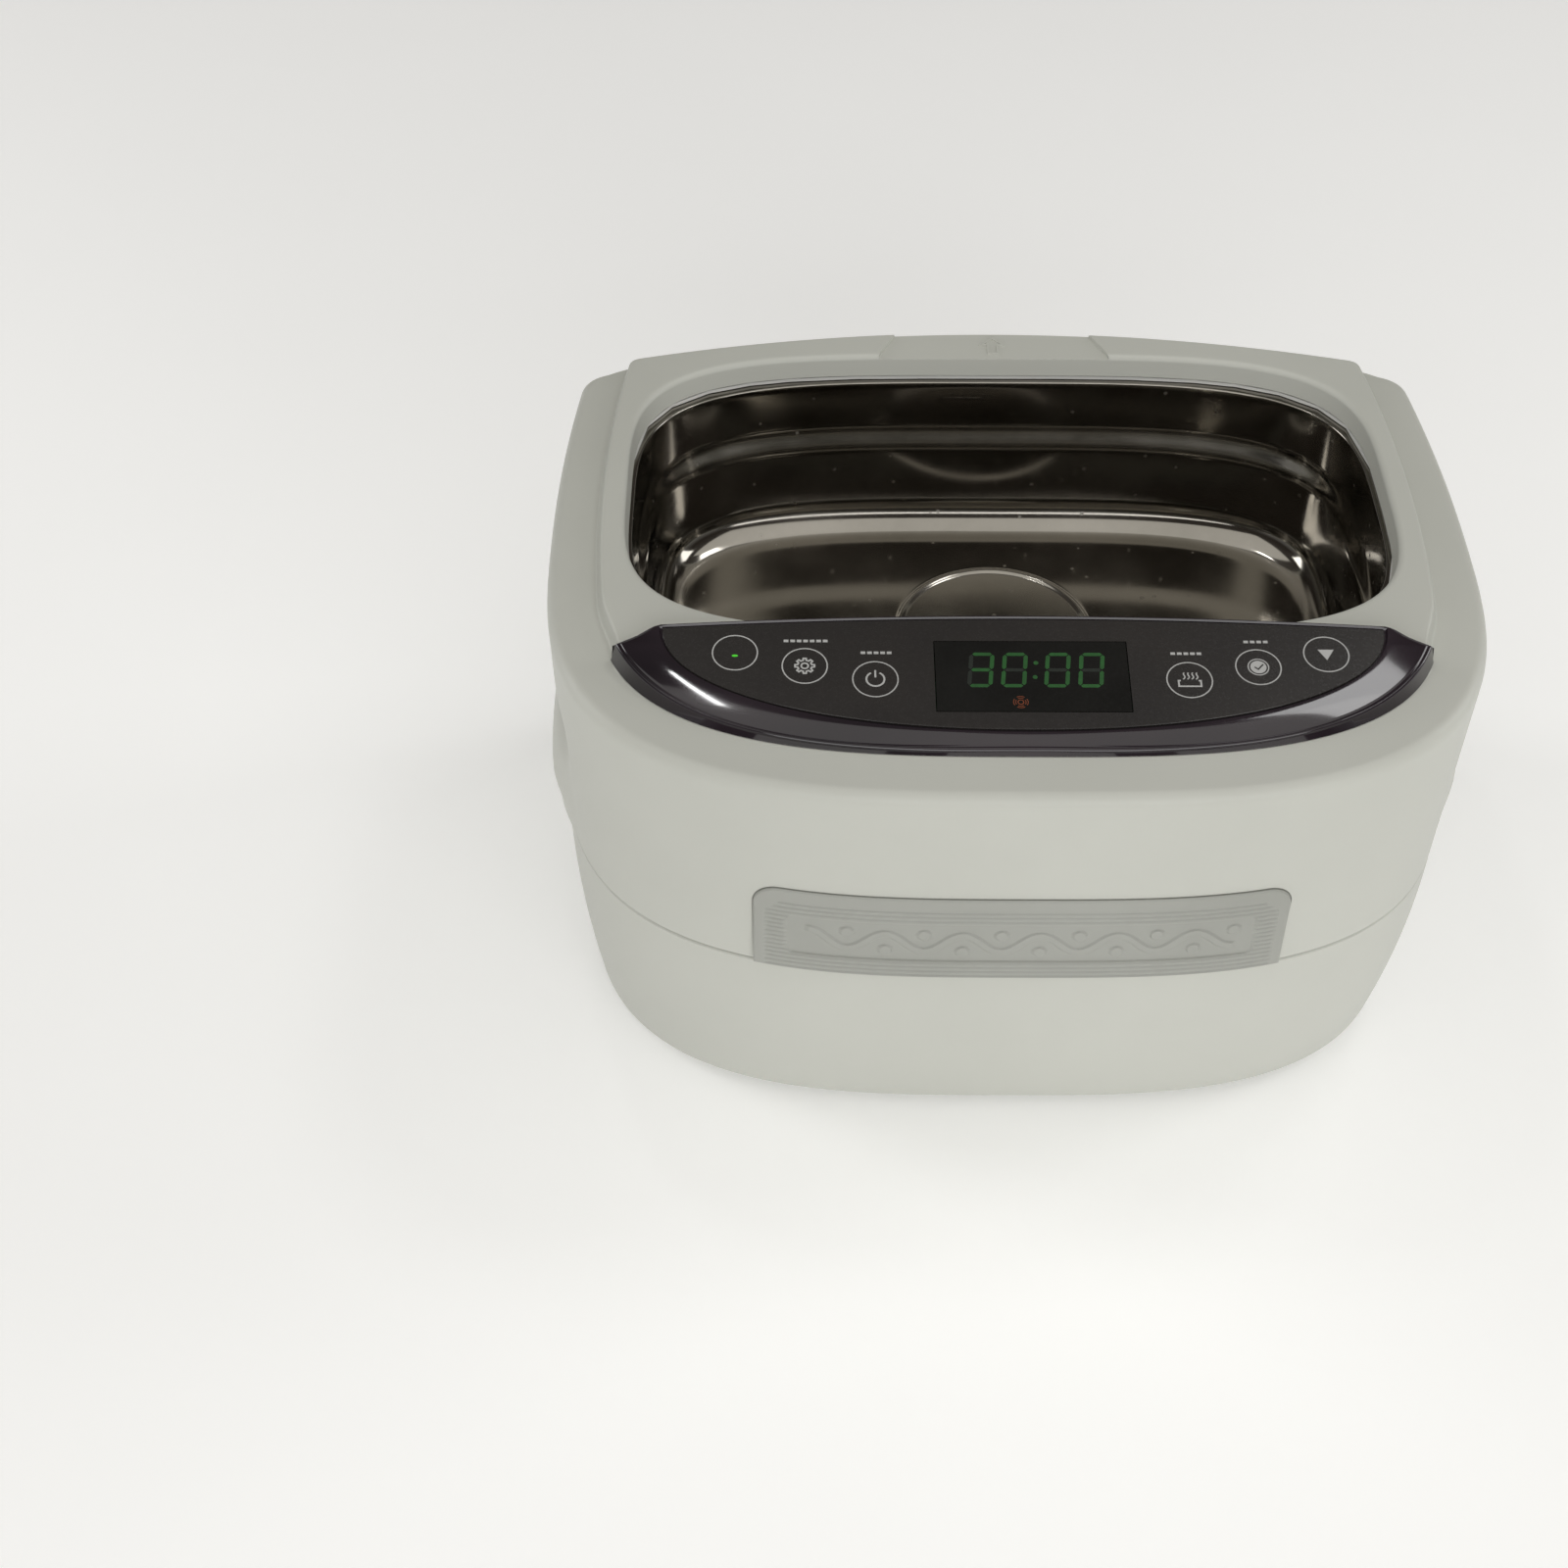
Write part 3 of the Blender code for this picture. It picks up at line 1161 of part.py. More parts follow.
def make_inlet():
    low = INLET_PROUD
    socket = box("inlet_socket", (0, 0, low + 0.5 * INLET_FLANGE[2]), INLET_FLANGE,
                 "black_plastic", INLET_FRAME)
    body = box("inlet_body", (0, 0, low + 0.001 - 0.5 * INLET_BODY[2]), INLET_BODY,
               frame=INLET_FRAME)
    combine(socket, body, "UNION")
    mouth = low + INLET_FLANGE[2]
    well = box("inlet_well", (0, 0, mouth - INLET_WELL[2] + 0.020),
               (INLET_WELL[0], INLET_WELL[1], 0.040), frame=INLET_FRAME)
    combine(socket, well)
    floor = mouth - INLET_WELL[2]
    length = INLET_PIN_STAND + INLET_PIN[2]
    for name, x, y in (("line", -INLET_PIN_PITCH, -INLET_PIN_DROP),
                       ("neutral", INLET_PIN_PITCH, -INLET_PIN_DROP),
                       ("earth", 0.0, INLET_PIN_DROP)):
        place = (x, y, floor + INLET_PIN_STAND - 0.5 * length)
        slot = box(f"{name}_slot", place,
                   (INLET_PIN[0] + 2 * GAP, INLET_PIN[1] + 2 * GAP, length), frame=INLET_FRAME)
        combine(socket, slot)
        box(f"inlet_pin_{name}", place, (INLET_PIN[0], INLET_PIN[1], length), "plated_steel",
            INLET_FRAME)


def pin_tail(x, y):
    """Just behind the inner end of a pin, in world axes."""
    floor = INLET_PROUD + INLET_FLANGE[2] - INLET_WELL[2]
    return INLET_FRAME @ Vector((x, y, floor - INLET_PIN[2] - GAP))


def make_leads():
    top = BOARD_TOP_Z + GAP
    board_back = BOARD_CENTRE[1] + 0.5 * BOARD_SIZE[1]
    for name, x, spot in (("line_lead", -INLET_PIN_PITCH, 0.074),
                          ("neutral_lead", INLET_PIN_PITCH, 0.026)):
        start = pin_tail(x, -INLET_PIN_DROP)
        end = Vector((spot, board_back - 0.003, top + 0.0002))
        back = Vector((0, -0.007, 0))
        middle = 0.5 * (start + end) + Vector((0, -0.001, 0.004))
        tube(name, [start, start + back, middle, end + Vector((0, 0.001, 0.008)), end],
             LEAD_RADIUS, "wire_insulation")
    start = pin_tail(0.0, INLET_PIN_DROP)
    tank_side = Vector((HEATER_OUTER_X - 0.029, OPENING_Y + 0.5 * HEATER_LENGTH + 0.005,
                        TANK_FLOOR_Z - TANK_WALL - 2 * GAP))
    tube("earth_lead", [start, start + Vector((0, -0.008, 0.002)),
                        tank_side + Vector((0, 0.010, -0.022)), tank_side], LEAD_RADIUS,
         "wire_insulation")
    stack = TANK_FLOOR_Z - TANK_WALL - 3 * GAP - HORN_HEIGHT - PIEZO_THICKNESS
    tag = Vector((PIEZO_RADIUS + ELECTRODE_TAG + 0.0020, TRANSDUCER_Y, stack - 0.0003))
    tube("transducer_lead", [tag, tag + Vector((0.006, -0.001, -0.006)),
                             Vector((0.045, 0.022, 0.042)), Vector((0.044, 0.018, top + 0.0002))],
         LEAD_RADIUS, "wire_insulation")


def make_ribbon():
    """Flat cable from the control board down the front to the main board's edge."""
    middle = 0.5 * (WINDOW_BACK_Y + WINDOW_FRONT_Y)
    start = Vector((0.030, middle, panel_z(middle) - BOARD_DROP - BOARD_THICKNESS - 0.0009))
    end = Vector((0.030, BOARD_CENTRE[1] - 0.5 * BOARD_SIZE[1] + 0.0015,
                  BOARD_Z + BOARD_SIZE[2] + 0.0006))
    route = smooth_route([start, start + Vector((0, -0.002, -0.012)),
                          Vector((0.030, -0.080, 0.110)), Vector((0.030, -0.072, 0.060)),
                          Vector((0.030, -0.052, 0.026)), end], 4)
    rings = []
    for i, point in enumerate(route):
        ahead = route[min(i + 1, len(route) - 1)] - route[max(i - 1, 0)]
        normal = Vector((0, -ahead.z, ahead.y)).normalized() * 0.0004
        half = Vector((0.009, 0, 0))
        rings.append([point - half - normal, point + half - normal, point + half + normal,
                      point - half + normal])
    loft("ribbon_cable", rings, "ribbon_cable")


# ---------------------------------------------------------------- fasteners and feet


def make_screws_and_feet():
    seat = BOSS_TOP_Z - SCREW_SEAT - GAP
    for name, (x, y) in corner_places(FRONT_BOSS, back_boss()):
        low = seat - SCREW_HEAD_HEIGHT
        tip = BOSS_TOP_Z + GAP + SCREW_REACH - 0.001
        turned(f"case_screw_{name}",
               [(0, tip), (SCREW_RADIUS, tip - 0.001), (SCREW_RADIUS, seat),
                (SCREW_HEAD_RADIUS, seat),
                (SCREW_HEAD_RADIUS, low), (0, low)], (x, y, 0.0), "plated_steel", steps=12)
    for name, (x, y) in corner_places(FRONT_FOOT, BACK_FOOT):
        top = BASE_Z - GAP
        turned(f"foot_{name}",
               [(0, FOOT_STEM_TOP_Z), (FOOT_STEM_RADIUS - 0.0008, FOOT_STEM_TOP_Z),
                (FOOT_STEM_RADIUS, FOOT_STEM_TOP_Z - 0.0015), (FOOT_STEM_RADIUS, top),
                (FOOT_RADIUS, top), (FOOT_RADIUS - 0.0012, 0.0), (0, 0.0)],
               (x, y, 0.0), "rubber", steps=16)


clear_scene()
PARTS = make_collection(OBJECT_NAME)
CUTTERS = make_collection("cutters")
STATIONS = stations()
make_materials()
INLET_FRAME = inlet_frame()
make_upper_housing()
make_lower_housing()
plate_block("nameplate", -PLATE_RECESS, PLATE_THICKNESS - PLATE_RECESS, 0.0, "nameplate_plastic")
make_panel()
make_control_board()
make_tank()
make_transducer()
make_heating()
make_main_board()
make_fan()
make_inlet()
make_leads()
make_ribbon()
make_screws_and_feet()
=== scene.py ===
"""Looks of a bench-top ultrasonic cleaner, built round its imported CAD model.

Metres, +Z up, in the model's own frame: the touch panel faces -Y and the pour channel +Y.
The fine shells repeat the design's outlines at many more points than the CAD solids have.
"""

import json
import math

import bmesh
import bpy
import numpy as np
from mathutils import Matrix, Vector


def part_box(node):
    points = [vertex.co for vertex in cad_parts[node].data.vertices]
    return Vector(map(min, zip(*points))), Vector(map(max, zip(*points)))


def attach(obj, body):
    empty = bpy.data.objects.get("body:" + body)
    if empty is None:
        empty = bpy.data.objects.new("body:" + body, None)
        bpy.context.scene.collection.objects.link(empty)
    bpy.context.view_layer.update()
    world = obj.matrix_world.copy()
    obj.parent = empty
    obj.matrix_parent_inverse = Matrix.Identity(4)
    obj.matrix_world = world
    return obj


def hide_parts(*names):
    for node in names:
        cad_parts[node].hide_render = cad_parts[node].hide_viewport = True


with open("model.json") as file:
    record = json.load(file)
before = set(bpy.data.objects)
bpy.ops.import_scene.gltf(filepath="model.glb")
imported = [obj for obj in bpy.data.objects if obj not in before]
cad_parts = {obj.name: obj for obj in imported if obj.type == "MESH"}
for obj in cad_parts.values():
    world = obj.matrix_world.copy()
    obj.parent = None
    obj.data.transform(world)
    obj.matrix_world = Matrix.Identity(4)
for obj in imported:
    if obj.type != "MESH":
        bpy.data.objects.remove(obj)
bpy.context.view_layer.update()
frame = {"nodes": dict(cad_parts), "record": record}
BODY = "base_unit"

# Places that the CAD model gives.
UPPER_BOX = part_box("upper_housing")
LOWER_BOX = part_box("lower_housing")
TANK_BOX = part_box("tank")
FAN_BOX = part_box("fan_frame")
WINDOW_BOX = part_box("display_window")

# Whole body, as in the design.
GAP = 0.0003
BODY_HALF_WIDTH = 0.150
BODY_HALF_DEPTH = UPPER_BOX[1].y
WIDEST_Y = 0.00775
FRONT_REACH = BODY_HALF_DEPTH + WIDEST_Y
FRONT_ROUNDNESS = 3.13
SIDE_NARROWING = 0.763
BACK_BOW = 1.05
BACK_CORNER_RADIUS = 0.007
RIM_EDGE_RADIUS = 0.004
WALL = 0.0025
FRAME_HALF_WIDTH = BODY_HALF_WIDTH - 0.0165
FRAME_WIDEST_Y = 0.0195
FRAME_NARROWING = 0.92
FRAME_TOP_Z = UPPER_BOX[1].z
RIM_Z = FRAME_TOP_Z - 0.0054
FRAME_EDGE_RADIUS = 0.0012
FRAME_FOOT_FILLET = 0.0010
FRAME_CORNER_RADIUS = 0.003
FRAME_DRAFT = 0.0012
FRAME_TUCK = 0.0036
FRAME_TUCK_Y = -0.030
FRAME_TUCK_LENGTH = 0.026
BACK_FLUSH = 0.0020

# Opening over the tank, and the pour channel behind it.
OPENING_HALF_WIDTH = FRAME_HALF_WIDTH - 0.0078
OPENING_BACK_Y = BODY_HALF_DEPTH - 0.0171
OPENING_FRONT_Y = -0.04675
OPENING_HALF_DEPTH = 0.5 * (OPENING_BACK_Y - OPENING_FRONT_Y)
OPENING_Y = 0.5 * (OPENING_BACK_Y + OPENING_FRONT_Y)
OPENING_ROUNDNESS = 3.9
OPENING_EDGE_RADIUS = 0.002
OPENING_LIP_DRAFT = 0.0008
OPENING_LIP_Z = FRAME_TOP_Z - 0.0081
CHANNEL_BACK_HALF_WIDTH = 0.0335
CHANNEL_FRONT_HALF_WIDTH = 0.0410
CHANNEL_DEPTH = 0.0013
ARROW_HALF_WIDTH = 0.0039
ARROW_LENGTH = 0.0092
ARROW_HEIGHT = 0.0004

# Seam, lower housing and grips.
SEAM_Z = 0.0788
SEAM_GAP = 0.0004
SEAM_INSET = 0.0022
SEAM_BACK_INSET = 0.0012
SEAM_EDGE = 0.0005
BASE_Z = LOWER_BOX[0].z
BASE_SIDE_INSET = 0.0086
BASE_FRONT_INSET = 0.0130
BASE_BACK_INSET = 0.0052
BASE_TAPER_POWER = 1.9
BASE_EDGE_RADIUS = 0.004
FLOOR_THICKNESS = 0.0025
TONGUE_HEIGHT = 0.003
TONGUE_WALL = 0.0012
GRIP_Y = -0.006
GRIP_HALF_LENGTH = 0.052
GRIP_FADE = 0.024
GRIP_LIP_PROUD = 0.0040
GRIP_LIP_Z = SEAM_Z + 0.0132
GRIP_LIP_HALF_HEIGHT = 0.020
GRIP_LIP_FOOT = 0.6
GRIP_SCOOP_DEPTH = 0.0070
GRIP_SCOOP_Z = SEAM_Z + 0.0392
GRIP_SCOOP_HALF_HEIGHT = 0.015

# Control panel.
PANEL_HALF_WIDTH = BODY_HALF_WIDTH - 0.0170
PANEL_FRONT_Y = 0.0178 - BODY_HALF_DEPTH
PANEL_REACH = 0.0872
PANEL_CENTRE_Y = PANEL_FRONT_Y + PANEL_REACH
PANEL_ROUNDNESS = 3.07
PANEL_BACK_CORNER_Y = PANEL_FRONT_Y + 0.0499
PANEL_TIP_Y = PANEL_BACK_CORNER_Y - 0.0072
PANEL_BACK_HALF_WIDTH = PANEL_HALF_WIDTH - 0.0205
PANEL_BACK_BOW = 0.0038
PANEL_FRONT_Z = RIM_Z + 0.00258
PANEL_SLOPE = 0.1488
PANEL_TILT = math.atan(PANEL_SLOPE)
PANEL_CAP = 0.0022
PANEL_SKIRT = 0.0025
PANEL_DRAFT = 0.0012
PANEL_MIDDLE_Y = -0.064
OVERLAY_HALF_WIDTH = PANEL_BACK_HALF_WIDTH - 0.0015
OVERLAY_BACK_Y = PANEL_BACK_CORNER_Y - 0.00275
OVERLAY_REACH = 0.0389
OVERLAY_ROUNDNESS = 2.15
OVERLAY_THICKNESS = 0.0010
DECK_WINDOW_INSET = 0.0035
OVERLAY_EDGE = 0.00015
BEZEL_DROP = 0.0014
BEZEL_BAND = 0.009
BEZEL_EDGE_RADIUS = 0.0009
BEZEL_BEAD = 0.0022
BEZEL_BEAD_DEPTH = 0.00025
GROOVE_WIDTH = 0.0011
GROOVE_DEPTH = 0.0007
PRINT_THICKNESS = 0.00004
PRINT_SHIFT = 0.0017
PRINT_X = 0.5 * (WINDOW_BOX[0].x + WINDOW_BOX[1].x) + PRINT_SHIFT
PAD_X = (0.0903, 0.0690, 0.0476)
PAD_Y = (-0.0616, -0.0667, -0.0718)
PAD_RADIUS = 0.00706
PAD_STROKE = 0.00040
SHARPEST_MITRE = 0.35
ICON_SCALE = 1.3
ICON_STROKE = 0.00045
MARK_PITCH = 0.0020
MARK_HEIGHT = 0.0010

# Name plate on the front wall.
PLATE_HALF_WIDTH = 0.0830
PLATE_TOP_Z = SEAM_Z + 0.0362
PLATE_CORNER_RADIUS = 0.008
PLATE_PROUD = 0.0008
PLATE_THICKNESS = 0.0016
FIELD_HALF_WIDTH = 0.0730
FIELD_LOW_Z = 0.0873
FIELD_HIGH_Z = 0.1036
FIELD_CORNER = 0.0022
RELIEF = 0.00055
RELIEF_FLANK = 0.0003
WAVE_PITCH = 0.0240
WAVE_HEIGHT = 0.0036
WAVE_HALF_WIDTH = 0.0013
BUBBLE_RADIUS = 0.0021
RIB_TOP_Z = 0.1093
RIB_PITCH = 0.0019
RIB_COUNT = 16
RIB_HALF_WIDTH = 0.00033

# Stainless tank.
TANK_FLANGE_Z = TANK_BOX[1].z
TANK_WALL = 0.0010
TANK_FLOOR_Z = TANK_BOX[0].z + TANK_WALL
TANK_FLANGE_WIDTH = 0.0030
TANK_INSET = 0.0018
TANK_STEP_Z = TANK_FLANGE_Z - 0.0227
TANK_STEP = 0.0030
TANK_STEP_HEIGHT = 0.0110
TANK_DRAFT = 0.0012
TANK_FILLET = 0.0110
TANK_ROUNDNESS = 3.6
TANK_FLANGE_BEND = 0.0005
TANK_OUTER_BEND = 0.0004
TANK_MIDDLE_RADIUS = 0.006
RING_RADIUS = 0.0346
RING_WIDTH = 0.0040
RING_HEIGHT = 0.0007
RING_Y = OPENING_Y + 0.00455

FLOOR_HALF_SIZE = 25.0

# Screw wells, foot stems, air grille and mains inlet in the lower housing.
CORNERS = [f"{end}_{side}" for side in ("left", "right") for end in ("front", "back")]
ROD_SEGMENTS = 32
SCREW_WELL_CLEARANCE = 0.0004
FOOT_STEM_RADIUS = 0.0033
GRILLE_MARGIN = 0.0015
GRILLE_SLOTS = 7
GRILLE_SPARE = 0.3
GRILLE_SLOT_WIDTH = 0.0036
GRILLE_SLOT_END = 0.002
CUTTER_HEIGHT = 0.01
INLET_HOLE = (0.0276, 0.0206, 0.020)

# Digits, and the camera as fitted to the photograph's view.
DIGIT_WIDTH = 0.0064
DIGIT_HEIGHT = 0.0124
DIGIT_SLANT = 0.10
DIGIT_BAR = 0.00128
DIGIT_GAP = 0.00020
DIGIT_BASE_Y = -0.0742
CAMERA_PLACE = (-0.07348, -0.63537, 0.67291)
CAMERA_TURNS = (45.6123, -0.1131, 0.1128)
CAMERA_LENS = 57.41
CAMERA_SENSOR = 36.0

# How fine the shells are.
STATION_DETAIL = 7
OUTLINE_POINTS = 1400
WALL_LEVELS = 36
ROUND_LEVELS = 8
FILLET_LEVELS = 4


# Meshes


def smooth_step(value):
    value = np.clip(value, 0.0, 1.0)
    return value * value * (3 - 2 * value)


def quarter(steps):
    """(1 - cos, 1 - sin) at each step of a quarter turn: the two offsets of a rounded edge."""
    turns = [0.5 * math.pi * i / steps for i in range(steps + 1)]
    return [(1 - math.cos(turn), 1 - math.sin(turn)) for turn in turns]


def full_turn(count):
    return np.linspace(0, 2 * math.pi, count, endpoint=False)


def link_object(name, data):
    obj = bpy.data.objects.new(name, data)
    bpy.context.scene.collection.objects.link(obj)
    return obj


def mesh_of(bm, name):
    mesh = bpy.data.meshes.new(name)
    bm.to_mesh(mesh)
    bm.free()
    return mesh


def add_piece(name, mesh, material, body=BODY, slot=None, smooth_angle=32):
    """Puts a finished mesh in the scene, on its CAD body, with its material."""
    obj = link_object(name, mesh)
    mesh.materials.clear()
    mesh.materials.append(MATERIALS[material])
    mesh.shade_smooth()
    mesh.set_sharp_from_angle(angle=math.radians(smooth_angle))
    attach(obj, body)
    slot or material
    return obj


def ring_mesh(name, rings, closed=True, capped=None):
    """Quads between rings of equally many points; closed runs the last back to the first.

    The gap after the ring numbered capped is left open, and a face closes each side of it.
    """
    count = len(rings[0])
    index = np.arange(count)
    ahead = (index + 1) % count
    faces = []
    for row in range(len(rings) - (not closed)):
        a, b = row * count, (row + 1) % len(rings) * count
        if row == capped:
            faces += [(a + index).tolist(), (b + index).tolist()]
        else:
            faces += np.stack([a + index, a + ahead, b + ahead, b + index], 1).tolist()
    if not closed:
        faces += [index[::-1].tolist(), ((len(rings) - 1) * count + index).tolist()]
    mesh = bpy.data.meshes.new(name)
    mesh.from_pydata(np.concatenate(rings).tolist(), [], faces)
    return outward(mesh)


def outward(mesh):
    """Turns all faces out and drops doubled points."""
    bm = bmesh.new()
    bm.from_mesh(mesh)
    bmesh.ops.remove_doubles(bm, verts=bm.verts, dist=1e-7)
    bmesh.ops.recalc_face_normals(bm, faces=bm.faces)
    bm.to_mesh(mesh)
    bm.free()
    return mesh


def prism_mesh(name, outline, low, high):
    """Extrudes an outline between two levels, each a number or a function of y."""
    rings = []
    for level in (low, high):
        rings.append([(x, y, level(y) if callable(level) else level) for x, y in outline])
    return ring_mesh(name, rings, closed=False)


def box_mesh(name, centre, size, frame_matrix=None):
    bm = bmesh.new()
    bmesh.ops.create_cube(bm, size=1.0)
    bmesh.ops.scale(bm, vec=size, verts=bm.verts)
    bmesh.ops.translate(bm, vec=centre, verts=bm.verts)
    if frame_matrix:
        bmesh.ops.transform(bm, matrix=frame_matrix, verts=bm.verts)
    return mesh_of(bm, name)


def rod_mesh(name, x, y, low, high, radius):
    bm = bmesh.new()
    bmesh.ops.create_cone(bm, cap_ends=True, segments=ROD_SEGMENTS, radius1=radius,
                          radius2=radius, depth=high - low)
    bmesh.ops.translate(bm, vec=(x, y, 0.5 * (low + high)), verts=bm.verts)
    return mesh_of(bm, name)


def cut(mesh, cutters):
    """The mesh with every cutter taken out of it."""
    target = link_object("target", mesh)
    helpers = [link_object(f"cutter_{i}", cutter) for i, cutter in enumerate(cutters)]
    for helper in helpers:
        modifier = target.modifiers.new("cut", "BOOLEAN")
        modifier.solver = "MANIFOLD"
        modifier.object = helper
    graph = bpy.context.evaluated_depsgraph_get()
    result = bpy.data.meshes.new_from_object(target.evaluated_get(graph))
    for obj in (target, *helpers):
        bpy.data.objects.remove(obj)
    return result


# Outlines


def stations():
    """Directions round the opening's centre, closer together where the outlines turn."""
    spans = ((-90, -64, 5), (-64, -40, 5), (-40, -33, 5), (-33, -16, 4), (-16, 20, 7),
             (20, 48, 9), (48, 90, 6))
    half = [math.radians(start + (stop - start) * i / (count * STATION_DETAIL))
            for start, stop, count in spans for i in range(count * STATION_DETAIL)]
    right = [*half, math.radians(90)]
    left = [math.pi - angle for angle in reversed(right[1:-1])]
    return np.array([*right, *left])


STATIONS = stations()


def at_stations(outline, centre_y=OPENING_Y, angles=STATIONS):
    """Points of a dense closed outline in each station's direction."""
    points = np.asarray(outline)
    turn = np.arctan2(points[:, 1] - centre_y, points[:, 0])
    reach = np.hypot(points[:, 0], points[:, 1] - centre_y)
    order = np.argsort(turn)
    found = np.interp(angles, turn[order], reach[order], period=2 * math.pi)
    return np.stack([found * np.cos(angles), centre_y + found * np.sin(angles)], 1)


def at_height(flat, z):
    """Gives flat points their height, a number or one for each point."""
    return np.column_stack([flat, np.broadcast_to(z, len(flat))])


def mirrored(right):
    """Closes a right half, front centre to back centre, with its mirror image."""
    right = np.asarray(right)
    return np.concatenate([right, right[-2:0:-1] * (-1, 1)])


def superellipse_quarter(half_width, reach, centre_y, roundness):
    """From the front centre round to the widest point."""
    angle = 0.5 * math.pi * np.linspace(0, 1, OUTLINE_POINTS)
    x = half_width * np.sin(angle) ** (2 / roundness)
    y = centre_y - reach * np.clip(np.cos(angle), 0, 1) ** (2 / roundness)
    return np.column_stack([x, y])


def with_back(front, side, back_y, corner_radius):
    """Adds a curved side, a rounded back corner and the bowed back to a front quarter."""
    start = front[-1][1]
    ys = np.linspace(start, back_y, 6000)
    corner = ys[ys <= back_y - BACK_BOW * side(ys) ** 2].max()
    along_side = np.linspace(start, corner - corner_radius, 160)[1:]
    corner_x = side(corner)
    along_back = np.linspace(corner_x - corner_radius, 0.0, 240)
    back = back_y - BACK_BOW * along_back**2
    t = np.linspace(0, 1, 26)[1:-1, None]
    first = np.array([side(along_side[-1]), along_side[-1]])
    last = np.array([along_back[0], back[0]])
    tip = np.array([corner_x, corner])
    bend = (1 - t) ** 2 * first + 2 * t * (1 - t) * tip + t * t * last
    return mirrored(np.concatenate([front, np.column_stack([side(along_side), along_side]), bend,
                                    np.column_stack([along_back, back])]))


def body_outline(side_inset, front_inset, back_inset):
    half_width = BODY_HALF_WIDTH - side_inset
    front = superellipse_quarter(half_width, FRONT_REACH - front_inset, WIDEST_Y, FRONT_ROUNDNESS)
    return with_back(front, lambda y: half_width - SIDE_NARROWING * (y - WIDEST_Y) ** 2,
                     BODY_HALF_DEPTH - back_inset, BACK_CORNER_RADIUS)


def frame_outline(inset=0.0):
    """The raised frame: under the panel in front, its own sides, near the housing's back."""
    half_width = FRAME_HALF_WIDTH - inset

    def side(y):
        tuck = FRAME_TUCK * smooth_step((FRAME_TUCK_Y - y) / FRAME_TUCK_LENGTH)
        return half_width - FRAME_NARROWING * (y - FRAME_WIDEST_Y) ** 2 - tuck

    inner = PANEL_SKIRT + inset
    front = superellipse_quarter(PANEL_HALF_WIDTH - inner, PANEL_REACH - inner, PANEL_CENTRE_Y,
                                 PANEL_ROUNDNESS)
    front = front[front[:, 1] < PANEL_TIP_Y + 0.004]
    blend = smooth_step((front[:, 1] - PANEL_TIP_Y + 0.008) / 0.006)
    front = front.copy()
    front[:, 0] += blend * (side(front[:, 1]) - front[:, 0])
    return with_back(front, side, BODY_HALF_DEPTH - BACK_FLUSH - inset, FRAME_CORNER_RADIUS)


def opening_outline(grow=0.0, roundness=OPENING_ROUNDNESS):
    angle = full_turn(4 * OUTLINE_POINTS)
    c, s = np.cos(angle), np.sin(angle)
    x = (OPENING_HALF_WIDTH + grow) * np.sign(c) * np.abs(c) ** (2 / roundness)
    y = (OPENING_HALF_DEPTH + grow) * np.sign(s) * np.abs(s) ** (2 / roundness)
    return np.column_stack([x, OPENING_Y + y])


def circle_outline(radius, centre_y):
    angle = full_turn(720)
    return np.column_stack([radius * np.cos(angle), centre_y + radius * np.sin(angle)])


def grown(outline, distance):
    """Moves an anticlockwise outline outwards along its own normals."""
    outline = np.asarray(outline)
    tangent = np.roll(outline, -1, 0) - np.roll(outline, 1, 0)
    tangent /= np.linalg.norm(tangent, axis=1)[:, None]
    return outline + distance * np.column_stack([tangent[:, 1], -tangent[:, 0]])


def panel_z(y):
    return PANEL_FRONT_Z + PANEL_SLOPE * (y - PANEL_FRONT_Y)


def deck_z(y):
    """Top of the raised frame, which drops away under the sloping panel."""
    return np.minimum(FRAME_TOP_Z, panel_z(y) - PANEL_CAP)

def on_deck(flat, drop=0.0):
    return at_height(flat, deck_z(flat[:, 1]) - drop)


def on_slope(flat, drop):
    return at_height(flat, panel_z(flat[:, 1]) - drop)


def grip_offset(y, z):
    """How far the side wall stands out, or is scooped in, at the hand grips."""
    along = smooth_step((GRIP_HALF_LENGTH - np.abs(y - GRIP_Y)) / GRIP_FADE)
    lip = float(smooth_step(1 - abs(z - GRIP_LIP_Z) / GRIP_LIP_HALF_HEIGHT))
    if z < GRIP_LIP_Z:
        lip = max(lip, GRIP_LIP_FOOT)
    scoop = float(smooth_step(1 - abs(z - GRIP_SCOOP_Z) / GRIP_SCOOP_HALF_HEIGHT))
    return along * (GRIP_LIP_PROUD * lip - GRIP_SCOOP_DEPTH * scoop)


def wall_ring(z, inset=0.0):
    """The upper housing's wall at one height, with the grips."""
    share = (RIM_Z - RIM_EDGE_RADIUS - z) / (RIM_Z - RIM_EDGE_RADIUS - SEAM_Z)
    outline = body_outline(share * SEAM_INSET, share * SEAM_INSET, share * SEAM_BACK_INSET)
    flat = at_stations(grown(outline, -inset))
    outward_x = np.where(np.abs(flat[:, 0]) > 0.1, np.sign(flat[:, 0]), 0.0)
    flat[:, 0] += outward_x * grip_offset(flat[:, 1], z)
    return at_height(flat, z)


def base_ring(z, inset=0.0):
    """The lower housing's wall at one height; it draws in towards the base."""
    share = ((SEAM_Z - z) / (SEAM_Z - BASE_Z)) ** BASE_TAPER_POWER if z < SEAM_Z else 0.0
    outline = body_outline(
        SEAM_INSET + share * (BASE_SIDE_INSET - SEAM_INSET),
        SEAM_INSET + share * (BASE_FRONT_INSET - SEAM_INSET),
        SEAM_BACK_INSET + share * (BASE_BACK_INSET - SEAM_BACK_INSET),
    )
    return at_height(at_stations(grown(outline, -inset)), z)


# Materials


